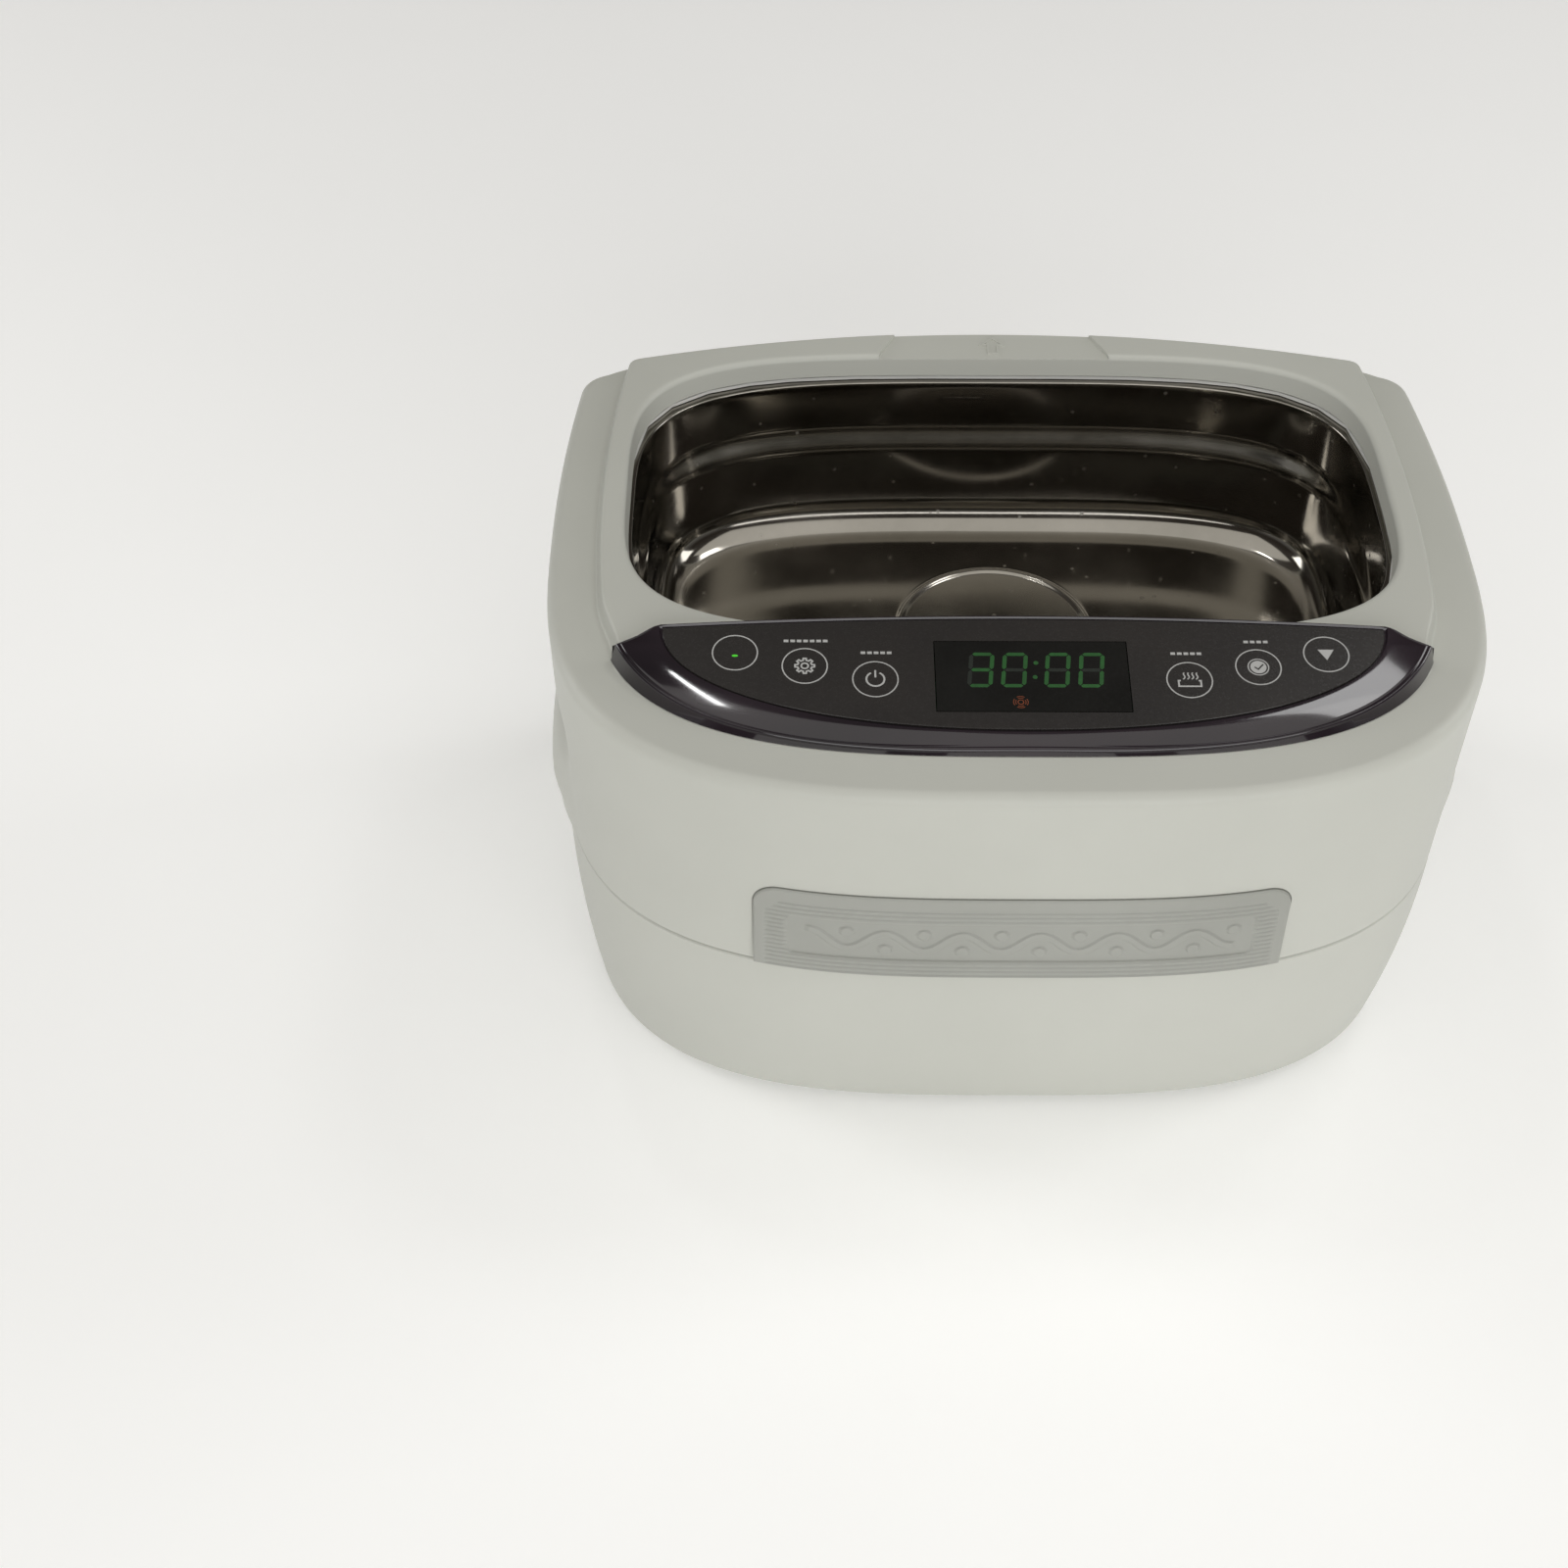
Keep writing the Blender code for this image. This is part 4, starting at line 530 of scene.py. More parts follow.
def nodes_of(name):
    material = bpy.data.materials.new(name)
    material.use_nodes = True
    tree = material.node_tree
    return material, tree, tree.nodes["Principled BSDF"]


def set_inputs(node, **values):
    """Sets inputs by name, with _ for a space: a socket is linked, anything else is its value."""
    for name, value in values.items():
        socket = node.inputs[name.replace("_", " ")]
        if isinstance(value, bpy.types.NodeSocket):
            node.id_data.links.new(value, socket)
        else:
            socket.default_value = value


def add_node(tree, kind, **values):
    node = tree.nodes.new("ShaderNode" + kind)
    set_inputs(node, **values)
    return node


def coordinates(tree, scale=(1, 1, 1)):
    place = add_node(tree, "TexCoord").outputs["Object"]
    return add_node(tree, "Mapping", Vector=place, Scale=scale).outputs["Vector"]


def noise(tree, vector, scale, detail=2.0, roughness=0.5):
    return add_node(tree, "TexNoise", Vector=vector, Scale=scale, Detail=detail,
                    Roughness=roughness).outputs["Fac"]


def ramp(tree, factor, stops):
    node = add_node(tree, "ValToRGB", Fac=factor)
    elements = node.color_ramp.elements
    while len(elements) < len(stops):
        elements.new(0.5)
    for element, (position, colour) in zip(elements, stops):
        element.position = position
        element.color = (*colour, 1.0)
    return node.outputs["Color"]


def spread(tree, factor, low, high, start=0.3, stop=0.7):
    """Maps a noise's middle to a range, such as a roughness."""
    return add_node(tree, "MapRange", Value=factor, From_Min=start, From_Max=stop, To_Min=low,
                    To_Max=high).outputs["Result"]


def bump(tree, height, strength, distance):
    return add_node(tree, "Bump", Height=height, Strength=strength,
                    Distance=distance).outputs["Normal"]


def surface(name, dark, light, roughness, metallic=0.0, patch=9.0, grain=1400.0, grain_bump=0.2,
            stretch=(1, 1, 1), depth=0.0001):
    """A finish whose colour drifts between two tones, with fine grain in its roughness and relief."""
    material, tree, shader = nodes_of(name)
    patches = noise(tree, coordinates(tree), patch, 4.0, 0.55)
    fine = noise(tree, coordinates(tree, stretch), grain, 3.0, 0.6)
    set_inputs(shader, Base_Color=ramp(tree, patches, ((0.32, dark), (0.68, light))),
               Roughness=spread(tree, fine, *roughness), Metallic=metallic,
               Normal=bump(tree, fine, grain_bump, depth))
    return material


def polished_steel(name):
    """Deep-drawn and polished: faint draw lines, dull patches and small dried drops."""
    material, tree, shader = nodes_of(name)
    vector = coordinates(tree)
    patches = noise(tree, vector, 22.0, 5.0, 0.6)
    lines = noise(tree, coordinates(tree, (0.25, 0.25, 30)), 60.0, 3.0, 0.7)
    drops = add_node(tree, "TexVoronoi", Scale=110.0, Vector=vector).outputs["Distance"]
    spots = spread(tree, drops, 1.0, 0.0, 0.05, 0.11)
    add = tree.nodes.new("ShaderNodeMath")
    add.operation = "MULTIPLY_ADD"
    for i, term in enumerate((spots, None, spread(tree, patches, 0.07, 0.17))):
        if term:
            tree.links.new(term, add.inputs[i])
    add.inputs[1].default_value = 0.20
    tones = ((0.3, (0.28, 0.265, 0.235)), (0.7, (0.36, 0.34, 0.305)))
    set_inputs(shader, Base_Color=ramp(tree, patches, tones), Roughness=add.outputs["Value"],
               Normal=bump(tree, lines, 0.02, 0.0001), Metallic=1.0)
    return material


def board_green(name):
    """Solder mask with a faint pattern of copper lines under it."""
    material, tree, shader = nodes_of(name)
    bricks = add_node(tree, "TexBrick", Vector=coordinates(tree), Scale=160.0, Mortar_Size=0.06,
                      Color1=(0.012, 0.11, 0.04, 1), Color2=(0.015, 0.14, 0.05, 1),
                      Mortar=(0.03, 0.22, 0.08, 1))
    set_inputs(shader, Base_Color=bricks.outputs["Color"], Roughness=0.4)
    return material


def glow(name, colour, strength):
    """A lit segment, or an unlit one with a faint painted glow: its face fades a little from place to
    place.
    """
    material, tree, shader = nodes_of(name)
    dim = tuple(0.72 * channel for channel in colour)
    shade = ramp(tree, noise(tree, coordinates(tree), 400.0), ((0.3, dim), (0.7, colour)))
    set_inputs(shader, Base_Color=shade, Emission_Color=shade, Emission_Strength=strength,
               Roughness=0.4)
    return material


def smoked_acrylic(name):
    """Near-black gloss with a purple-brown cast and faint moulding drift."""
    material, tree, shader = nodes_of(name)
    patches = noise(tree, coordinates(tree, (1, 2.5, 1)), 14.0, 3.0)
    tones = ((0.3, (0.010, 0.007, 0.010)), (0.7, (0.026, 0.018, 0.024)))
    set_inputs(shader, Base_Color=ramp(tree, patches, tones),
               Roughness=spread(tree, patches, 0.05, 0.10), Coat_Weight=0.3, Coat_Roughness=0.03,
               IOR=1.49)
    return material


MOULDED = {"grain": 2600.0, "grain_bump": 0.35, "depth": 0.00004}
METAL = {"metallic": 1.0}
# Darker tone, lighter tone, range of roughness, and what differs from the usual settings.
FINISHES = {
    "housing_plastic": ((0.515, 0.522, 0.475), (0.560, 0.567, 0.518), (0.40, 0.52),
                        {"patch": 6.0, **MOULDED}),
    "nameplate_plastic": ((0.325, 0.330, 0.300), (0.355, 0.360, 0.330), (0.42, 0.55),
                          {"patch": 14.0, **MOULDED}),
    "overlay_film": ((0.021, 0.019, 0.018), (0.026, 0.023, 0.021), (0.24, 0.29),
                     {"patch": 30.0, "grain": 700.0, "grain_bump": 0.01, "depth": 0.00001}),
    "window_lens": ((0.006, 0.006, 0.0055), (0.011, 0.011, 0.010), (0.12, 0.20),
                    {"patch": 40.0, "grain": 900.0, "grain_bump": 0.03, "depth": 0.00002}),
    "silicone": ((0.62, 0.62, 0.60), (0.75, 0.75, 0.72), (0.5, 0.7), {}),
    "aluminium": ((0.55, 0.55, 0.56), (0.72, 0.72, 0.73), (0.25, 0.45),
                  {"stretch": (1, 1, 12), "grain": 300.0, **METAL}),
    "plated_steel": ((0.42, 0.42, 0.42), (0.62, 0.62, 0.60), (0.25, 0.42), METAL),
    "piezo_ceramic": ((0.25, 0.23, 0.19), (0.34, 0.31, 0.26), (0.6, 0.8), {}),
    "brass": ((0.50, 0.33, 0.12), (0.68, 0.47, 0.20), (0.22, 0.4), METAL),
    "heater_mat": ((0.40, 0.07, 0.02), (0.55, 0.12, 0.04), (0.6, 0.8), {}),
    "black_plastic": ((0.014, 0.014, 0.014), (0.026, 0.026, 0.026), (0.38, 0.55),
                      {"grain": 2200.0}),
    "capacitor_sleeve": ((0.02, 0.02, 0.08), (0.04, 0.04, 0.13), (0.28, 0.4), {}),
    "rubber": ((0.018, 0.018, 0.018), (0.035, 0.035, 0.033), (0.75, 0.92), {}),
    "fuse_glass": ((0.60, 0.66, 0.66), (0.75, 0.80, 0.80), (0.05, 0.12), {}),
    "wire_insulation": ((0.26, 0.02, 0.012), (0.38, 0.035, 0.02), (0.4, 0.55), {}),
    "ribbon_cable": ((0.36, 0.36, 0.36), (0.50, 0.50, 0.50), (0.45, 0.6),
                     {"stretch": (8, 1, 1), "grain": 120.0}),
    "print_grey": ((0.42, 0.42, 0.41), (0.52, 0.52, 0.51), (0.4, 0.5), {}),
    "floor_paper": ((0.86, 0.86, 0.85), (0.90, 0.90, 0.89), (0.7, 0.9),
                    {"patch": 1.5, "grain": 300.0, "grain_bump": 0.05}),
}
# Colour and strength.
GLOWS = {
    "display_led": ((0.010, 0.075, 0.012), 0.25),
    # The unlit segments: their own dark green, with a faint painted glow though they are switched
    # off.
    "led_off": ((0.008, 0.013, 0.008), 0.1),
    "print_orange": ((0.16, 0.035, 0.008), 0.25),
    "led_green": ((0.05, 0.45, 0.02), 0.9),
}


def make_materials():
    made = {name: surface(name, *tones, **settings)
            for name, (*tones, settings) in FINISHES.items()}
    made.update({name: glow(name, *settings) for name, settings in GLOWS.items()})
    for name, make in (("bezel_acrylic", smoked_acrylic), ("stainless_steel", polished_steel),
                       ("circuit_board", board_green)):
        made[name] = make(name)
    set_inputs(made["floor_paper"].node_tree.nodes["Principled BSDF"],
               Emission_Color=(1, 1, 0.99, 1), Emission_Strength=0.22)
    for part in frame["record"]["subparts"]:
        materials = frame["nodes"][part["node"]].data.materials
        materials.clear()
        materials.append(made[part["material_slot"]])
    return made


MATERIALS = make_materials()


# Housings


def rim_rings():
    """Rounded outer edge and flat top of the rim, then the small fillet at the frame's foot."""
    outer = wall_ring(RIM_Z - RIM_EDGE_RADIUS)[:, :2]
    foot = at_stations(grown(frame_outline(), FRAME_DRAFT))
    inward = foot - outer
    length = np.linalg.norm(inward, axis=1)[:, None]
    inward = inward / length
    radius = np.minimum(RIM_EDGE_RADIUS, 0.45 * length)
    fillet = np.minimum(FRAME_FOOT_FILLET, 0.3 * length)
    rings = [at_height(outer + inward * radius * c, RIM_Z - radius[:, 0] * s)
             for c, s in quarter(ROUND_LEVELS)]
    return rings + [at_height(foot - inward * fillet * s, RIM_Z + 0.8 * fillet[:, 0] * c)
                    for c, s in quarter(FILLET_LEVELS)]


def frame_rings():
    """Side and top of the raised frame, the rounded edge of the opening and its lip."""
    rings = [on_deck(at_stations(grown(frame_outline(), -FRAME_EDGE_RADIUS * c)),
                     FRAME_EDGE_RADIUS * s) for c, s in quarter(ROUND_LEVELS)]
    outer = rings[-1][:, :2]
    inner = at_stations(opening_outline(OPENING_EDGE_RADIUS))
    rings += [on_deck(outer + (inner - outer) * i / 12) for i in range(1, 12)]
    rings += [on_deck(at_stations(opening_outline(OPENING_EDGE_RADIUS * s)),
                      OPENING_EDGE_RADIUS * c) for c, s in quarter(ROUND_LEVELS)]
    for grow, z in ((-OPENING_LIP_DRAFT, OPENING_LIP_Z + SEAM_EDGE),
                    (SEAM_EDGE - OPENING_LIP_DRAFT, OPENING_LIP_Z)):
        rings.append(at_height(at_stations(opening_outline(grow)), z))
    return rings


def upper_underside():
    """Inner faces, from the opening's lip out and down to the seam."""
    lip = at_stations(opening_outline(WALL - OPENING_LIP_DRAFT))
    top = at_stations(opening_outline(WALL))
    edge = at_stations(grown(frame_outline(), -WALL))
    shoulder = at_stations(grown(frame_outline(), -0.8 * WALL))
    rings = [at_height(lip, OPENING_LIP_Z)]
    rings += [on_deck(top + (edge - top) * i / 5, WALL) for i in range(6)]
    rings.append(at_height(shoulder, RIM_Z - WALL))
    levels = np.linspace(RIM_Z - WALL, SEAM_Z + SEAM_GAP, 12)
    return rings + [wall_ring(z, WALL) for z in levels]


def pour_channel():
    """Shallow channel across the back of the frame, flaring towards the tank."""
    back, front = BODY_HALF_DEPTH + 0.002, OPENING_BACK_Y - 0.003
    t = np.linspace(0, 1, 25)
    width = CHANNEL_BACK_HALF_WIDTH + smooth_step(t) * (
        CHANNEL_FRONT_HALF_WIDTH - CHANNEL_BACK_HALF_WIDTH)
    side = np.column_stack([width, back + (front - back) * t])
    outline = np.concatenate([side, side[::-1] * (-1, 1)])
    return prism_mesh("pour_channel", outline, FRAME_TOP_Z - CHANNEL_DEPTH, FRAME_TOP_Z + 0.01)


def make_upper_shell():
    low = SEAM_Z + SEAM_GAP
    rings = [wall_ring(low, SEAM_EDGE)]
    rings += [wall_ring(z) for z in np.linspace(low + SEAM_EDGE, RIM_Z - RIM_EDGE_RADIUS,
                                                WALL_LEVELS)[:-1]]
    rings += rim_rings() + frame_rings() + upper_underside()
    mesh = ring_mesh("upper_shell", rings)
    pocket = plate_mesh("plate_pocket", -(PLATE_THICKNESS - PLATE_PROUD) - GAP, 0.01, GAP)
    board = prism_mesh("deck_window", overlay_outline(DECK_WINDOW_INSET), RIM_Z - 0.01, RIM_Z + 0.01)
    shell = add_piece("upper_shell", cut(mesh, [pour_channel(), pocket, board]),
                      "housing_plastic")
    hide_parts("upper_housing")


def middle_of(low, high):
    return 0.5 * (low.x + high.x), 0.5 * (low.y + high.y)


def lower_cutters():
    """Screw wells, foot stems, the fan's grille and the mains inlet's hole."""
    cutters = []
    for corner in CORNERS:
        low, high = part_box(f"case_screw_{corner}")
        radius = 0.5 * (high.x - low.x) + SCREW_WELL_CLEARANCE
        cutters.append(rod_mesh("well", *middle_of(low, high), 0.0, low.z, radius))
        low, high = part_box(f"foot_{corner}")
        cutters.append(rod_mesh("stem", *middle_of(low, high), 0.0, high.z + GAP,
                                FOOT_STEM_RADIUS))
    x, y = middle_of(*FAN_BOX)
    bore = 0.5 * (FAN_BOX[1].x - FAN_BOX[0].x) - GRILLE_MARGIN
    pitch = 2 * bore / (GRILLE_SLOTS + GRILLE_SPARE)
    for i in range(-(GRILLE_SLOTS // 2), GRILLE_SLOTS // 2 + 1):
        reach = math.sqrt(bore**2 - (pitch * i) ** 2) - GRILLE_SLOT_END
        cutters.append(box_mesh("slot", (x + pitch * i, y, BASE_Z),
                                (GRILLE_SLOT_WIDTH, 2 * reach, CUTTER_HEIGHT)))
    cutters.append(box_mesh("inlet_hole", (0, 0, 0), INLET_HOLE, inlet_frame()))
    return cutters


def inlet_frame():
    """Axes on the back wall at the mains inlet: X along it, Y up it, Z out of it."""
    low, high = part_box("inlet_socket")
    mount = next(m for m in frame["record"]["mounts"] if m["name"] == "mains_inlet_face")
    out = Vector(mount["axis"]).normalized()
    along = Vector((-out.y, out.x, 0.0)).normalized()
    up = out.cross(along)
    middle = 0.5 * (low + high)
    face = Vector(mount["pos_m"])
    centre = middle + out * (face - middle).dot(out)
    axes = Matrix((along, up, out)).transposed().to_4x4()
    return Matrix.Translation(centre) @ axes


def make_lower_shell():
    rings = [base_ring(SEAM_Z, SEAM_EDGE)]
    rings += [base_ring(z) for z in np.linspace(SEAM_Z - SEAM_EDGE, BASE_Z + BASE_EDGE_RADIUS,
                                                WALL_LEVELS)[:-1]]
    for c, s in quarter(ROUND_LEVELS):
        ring = base_ring(BASE_Z + BASE_EDGE_RADIUS, BASE_EDGE_RADIUS * c)
        ring[:, 2] = BASE_Z + BASE_EDGE_RADIUS * s
        rings.append(ring)
    bottom = len(rings) - 1
    rings.append(base_ring(BASE_Z + FLOOR_THICKNESS, BASE_EDGE_RADIUS + 0.001))
    rings += [base_ring(z, WALL) for z in (0.012, 0.024, 0.040, 0.056)]
    for z, inset in ((SEAM_Z - TONGUE_HEIGHT, WALL + GAP + TONGUE_WALL),
                     (SEAM_Z + TONGUE_HEIGHT, WALL + GAP + TONGUE_WALL),
                     (SEAM_Z + TONGUE_HEIGHT, WALL + GAP), (SEAM_Z, WALL + GAP)):
        rings.append(base_ring(z, inset))
    mesh = ring_mesh("lower_shell", rings, capped=bottom)
    shell = add_piece("lower_shell", cut(mesh, lower_cutters()), "housing_plastic")
    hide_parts("lower_housing")


def make_arrow():
    """Raised outline of a plain arrow in the pour channel, pointing back."""
    floor = FRAME_TOP_Z - CHANNEL_DEPTH
    tip_y = BODY_HALF_DEPTH - 0.0045
    neck_y, tail_y = tip_y - 0.45 * ARROW_LENGTH, tip_y - ARROW_LENGTH
    shaft = 0.42 * ARROW_HALF_WIDTH
    left = [(-ARROW_HALF_WIDTH, neck_y), (-shaft, neck_y), (-shaft, tail_y)]
    outline = [(0, tip_y), *left, *((-x, y) for x, y in reversed(left))]
    mesh = stroke_mesh("pour_arrow", [(outline, 0.0007, True)], lambda x, y: (x, y, floor),
                       (0, 0, ARROW_HEIGHT))
    add_piece("pour_arrow", mesh, "housing_plastic")


# Flat prints


def stroke_mesh(name, strokes, place, lift):
    """Thin raised strips along 2-D lines: each is (points, width, closed), or width 0 to fill."""
    verts, faces = [], []
    for points, width, closed in strokes:
        points = [Vector(point) for point in points]
        start, count = len(verts), len(points)
        if not width:
            verts += [Vector(place(*point)) for point in points]
            faces.append(list(range(start, start + count)))
            continue
        for i, point in enumerate(points):
            before = points[i - 1] if closed or i else point
            after = points[(i + 1) % count] if closed or i < count - 1 else point
            first = (point - before).normalized() if point != before else None
            second = (after - point).normalized() if after != point else None
            first, second = first or second, second or first
            bisector = (first + second).normalized()
            side = Vector((-bisector.y, bisector.x)) * 0.5 * width
            side /= max(bisector.dot(first), SHARPEST_MITRE)
            verts += [Vector(place(*(point + side))), Vector(place(*(point - side)))]
        for i in range(count if closed else count - 1):
            a, b = start + 2 * i, start + 2 * ((i + 1) % count)
            faces.append([a + 1, b + 1, b, a])
    open_edges = {}
    for face in faces:
        for a, b in zip(face, face[1:] + face[:1]):
            if not open_edges.pop((b, a), False):
                open_edges[(a, b)] = True
    above = len(verts)
    verts += [vert + Vector(lift) for vert in verts]
    faces += [[above + i for i in face] for face in faces]
    faces += [[a, b, b + above, a + above] for a, b in open_edges]
    mesh = bpy.data.meshes.new(name)
    mesh.from_pydata(verts, [], faces)
    return outward(mesh)


PANEL_NORMAL = Vector((0, -math.sin(PANEL_TILT), math.cos(PANEL_TILT)))


def on_panel(centre_x, centre_y, lift=0.0):
    """Places print coordinates, taken along the slope, round a point of the panel."""
    origin = Vector((centre_x, centre_y, panel_z(centre_y))) + lift * PANEL_NORMAL
    along = Vector((0, math.cos(PANEL_TILT), math.sin(PANEL_TILT)))
    return lambda x, y: origin + Vector((x, 0, 0)) + along * y


def arc(radius, start, stop, count=40, centre=(0.0, 0.0)):
    return [(centre[0] + radius * math.cos(math.radians(start + (stop - start) * i / count)),
             centre[1] + radius * math.sin(math.radians(start + (stop - start) * i / count)))
            for i in range(count + 1)]


def ring_stroke(radius, width, count=64, centre=(0.0, 0.0)):
    return (arc(radius, 0, 360, count, centre)[:-1], width, True)


def scaled(strokes, factor):
    return [([(factor * x, factor * y) for x, y in points], factor * width, closed)
            for points, width, closed in strokes]


def add_print(name, strokes, centre, material, lift=0.0, slot="overlay_film"):
    mesh = stroke_mesh(name, strokes, on_panel(*centre, lift), PRINT_THICKNESS * PANEL_NORMAL)
    return add_piece(name, mesh, material, slot=slot)


def gear_icon():
    outline = []
    for tooth in range(8):
        middle = 45 * tooth
        for angle, radius in ((-13, 0.0017), (-8, 0.0023), (8, 0.0023), (13, 0.0017)):
            outline += arc(radius, middle + angle, middle + angle, 1)[:1]
    return [(outline, 0.00042, True), ring_stroke(0.00082, 0.00042, 32)]


def power_icon():
    return [(arc(0.0021, 118, 422), ICON_STROKE, False),
            ([(0, 0.0005), (0, 0.0027)], ICON_STROKE, False)]


def heater_icon():
    tray = [(-0.0021, -0.0002), (-0.0026, -0.0002), (-0.0026, -0.0019), (0.0026, -0.0019),
            (0.0026, -0.0002), (0.0021, -0.0002)]
    strokes = [(tray, 0.00042, False)]
    for x in (-0.0015, -0.0005, 0.0005, 0.0015):
        wave = [(x + 0.0003 * math.sin(5.5 * t) + 0.0006 * t, 0.0002 + 0.0020 * t)
                for t in np.linspace(0, 1, 12)]
        strokes.append((wave, 0.00030, False))
    return strokes


def clock_icon():
    return [(arc(0.0019, 0, 360, 48)[:-1], 0, True), ring_stroke(0.0024, 0.00028)]


def triangle_icon():
    return [([(-0.0019, 0.0014), (0.0, -0.0018), (0.0019, 0.0014)], 0, True)]


def make_pads():
    icons = {("left", 1): gear_icon, ("left", 2): power_icon, ("right", 2): heater_icon,
             ("right", 1): clock_icon, ("right", 0): triangle_icon}
    for side, sign in (("left", -1), ("right", 1)):
        for i, (x, y) in enumerate(zip(PAD_X, PAD_Y)):
            place = (PRINT_X + sign * x, y)
            strokes = [ring_stroke(PAD_RADIUS - 0.5 * PAD_STROKE, PAD_STROKE, 96)]
            if (side, i) in icons:
                strokes += scaled(icons[(side, i)](), ICON_SCALE)
            add_print(f"pad_print_{side}_{i + 1}", strokes, place, "print_grey")
    hands = [([(-0.0009, 0.0), (-0.0001, -0.0007), (0.0012, 0.0008)], 0.00034, False)]
    add_print("clock_hands", scaled(hands, ICON_SCALE), (PRINT_X + PAD_X[1], PAD_Y[1]),
              "overlay_film", PRINT_THICKNESS)
    light = [([(0.00095 * math.cos(a), 0.00042 * math.sin(a)) for a in full_turn(24)], 0, True)]
    add_print("power_light", light, (PRINT_X - PAD_X[0], PAD_Y[0] - 0.0012), "led_green")


def make_label_marks():
    """Rows of short dashes, where a maker would print words."""
    rows = {"mark_1": (-0.0670, -0.0569, 7), "mark_2": (-0.0455, -0.0615, 5),
            "mark_3": (0.0491, -0.0615, 5), "mark_4": (0.0709, -0.0568, 4)}
    for name, (x, y, count) in rows.items():
        strokes = []
        for i in range(count):
            middle = MARK_PITCH * (i - 0.5 * (count - 1))
            strokes.append(([(middle - 0.36 * MARK_PITCH, 0), (middle + 0.36 * MARK_PITCH, 0)],
                            MARK_HEIGHT, False))
        add_print(name, strokes, (x, y), "print_grey")


SEGMENTS = {"0": "abcdef", "3": "abcdg"}
UNLIT = {"0": "g", "3": "ef"}


def digit_strokes(keys, left):
    """Seven-segment strokes; each bar is a pointed lozenge."""
    width, height, half = DIGIT_WIDTH, DIGIT_HEIGHT, 0.5 * DIGIT_HEIGHT
    ends = {"a": ((0, height), (width, height)), "g": ((0, half), (width, half)),
            "d": ((0, 0), (width, 0)), "f": ((0, half), (0, height)),
            "e": ((0, 0), (0, half)), "b": ((width, half), (width, height)),
            "c": ((width, 0), (width, half))}
    strokes = []
    for key in keys:
        start, stop = Vector(ends[key][0]), Vector(ends[key][1])
        along = (stop - start).normalized()
        across = Vector((-along.y, along.x)) * 0.5 * DIGIT_BAR
        start, stop = start + DIGIT_GAP * along, stop - DIGIT_GAP * along
        tip = 0.5 * DIGIT_BAR * along
        outline = [start, start + tip - across, stop - tip - across, stop, stop - tip + across,
                   start + tip + across]
        strokes.append(([(left + p.x + DIGIT_SLANT * p.y, p.y) for p in outline], 0, True))
    return strokes


def make_display():
    """Digits, colon and the ultrasound symbol behind the dark window."""
    lit, unlit = [], []
    for shape, left in zip("3000", (-0.0193, -0.0091, 0.0040, 0.0143)):
        lit += digit_strokes(SEGMENTS[shape], left)
        unlit += digit_strokes(UNLIT[shape], left)
    dots = [(arc(0.00075, 0, 360, 24, (0.0005 + DIGIT_SLANT * y, y))[:-1], 0, True)
            for y in (0.0034, 0.0090)]
    waves = [ring_stroke(0.00085, 0.0003, 32)]
    for radius in (0.00155, 0.0022):
        for middle in (0, 90, 180, 270):
            waves.append((arc(radius, middle - 32, middle + 32, 14), 0.00026, False))
    base, symbol = (PRINT_X, DIGIT_BASE_Y), (PRINT_X - 0.0040, -0.0805)
    for name, strokes, centre, material in (
            ("display_digits", lit, base, "display_led"),
            # Unlit segments, with a faint painted glow.
            ("display_unlit", unlit, base, "led_off"),
            ("display_colon", dots, base, "display_led"),
            ("ultrasound_symbol", waves, symbol, "print_orange")):
        add_print(name, strokes, centre, material, slot="display_led")


# Control panel


def panel_outline(inset=0.0):
    """Front curve out to the tips, then in to the back corners and the bowed back edge."""
    half, reach = PANEL_HALF_WIDTH - inset, PANEL_REACH - inset
    far = (PANEL_CENTRE_Y - PANEL_TIP_Y + 0.5 * inset) / reach
    last = math.acos(far ** (0.5 * PANEL_ROUNDNESS))
    angle = last * np.linspace(0, 1, OUTLINE_POINTS)
    front = np.column_stack([half * np.sin(angle) ** (2 / PANEL_ROUNDNESS),
                             PANEL_CENTRE_Y - reach * np.cos(angle) ** (2 / PANEL_ROUNDNESS)])
    half = PANEL_BACK_HALF_WIDTH - 0.6 * inset
    x = half * (1 - np.linspace(0, 1, 200))
    back = np.column_stack([x, PANEL_BACK_CORNER_Y - inset
                            + PANEL_BACK_BOW * (1 - (x / half) ** 2)])
    return mirrored(np.concatenate([front, back]))


def overlay_outline(inset=0.0):
    """Half-moon: curved front, and a back edge bowed like the panel's own."""
    half = OVERLAY_HALF_WIDTH - inset
    back = OVERLAY_BACK_Y - inset
    front = superellipse_quarter(half, OVERLAY_REACH - 2 * inset, back, OVERLAY_ROUNDNESS)
    x = half * (1 - np.linspace(0, 1, 200)[1:])
    edge = np.column_stack([x, back + PANEL_BACK_BOW * (1 - (x / half) ** 2)])
    return mirrored(np.concatenate([front, edge]))


def panel_angles(centre_y):
    """Even directions, and exactly those of the panel's and the overlay's corners."""
    corners = [(PANEL_BACK_HALF_WIDTH, PANEL_BACK_CORNER_Y), (OVERLAY_HALF_WIDTH, OVERLAY_BACK_Y)]
    tip = panel_outline()[OUTLINE_POINTS - 1]
    corners.append((float(tip[0]), float(tip[1])))
    angles = set(np.linspace(-math.pi, math.pi, 720, endpoint=False).tolist())
    for x, y in corners:
        for spread_angle in (-0.004, -0.0015, 0.0, 0.0015, 0.004):
            right = math.atan2(y - centre_y, x) + spread_angle
            angles.update((right, math.pi - right if right >= 0 else -math.pi - right))
    return np.array(sorted(angles))


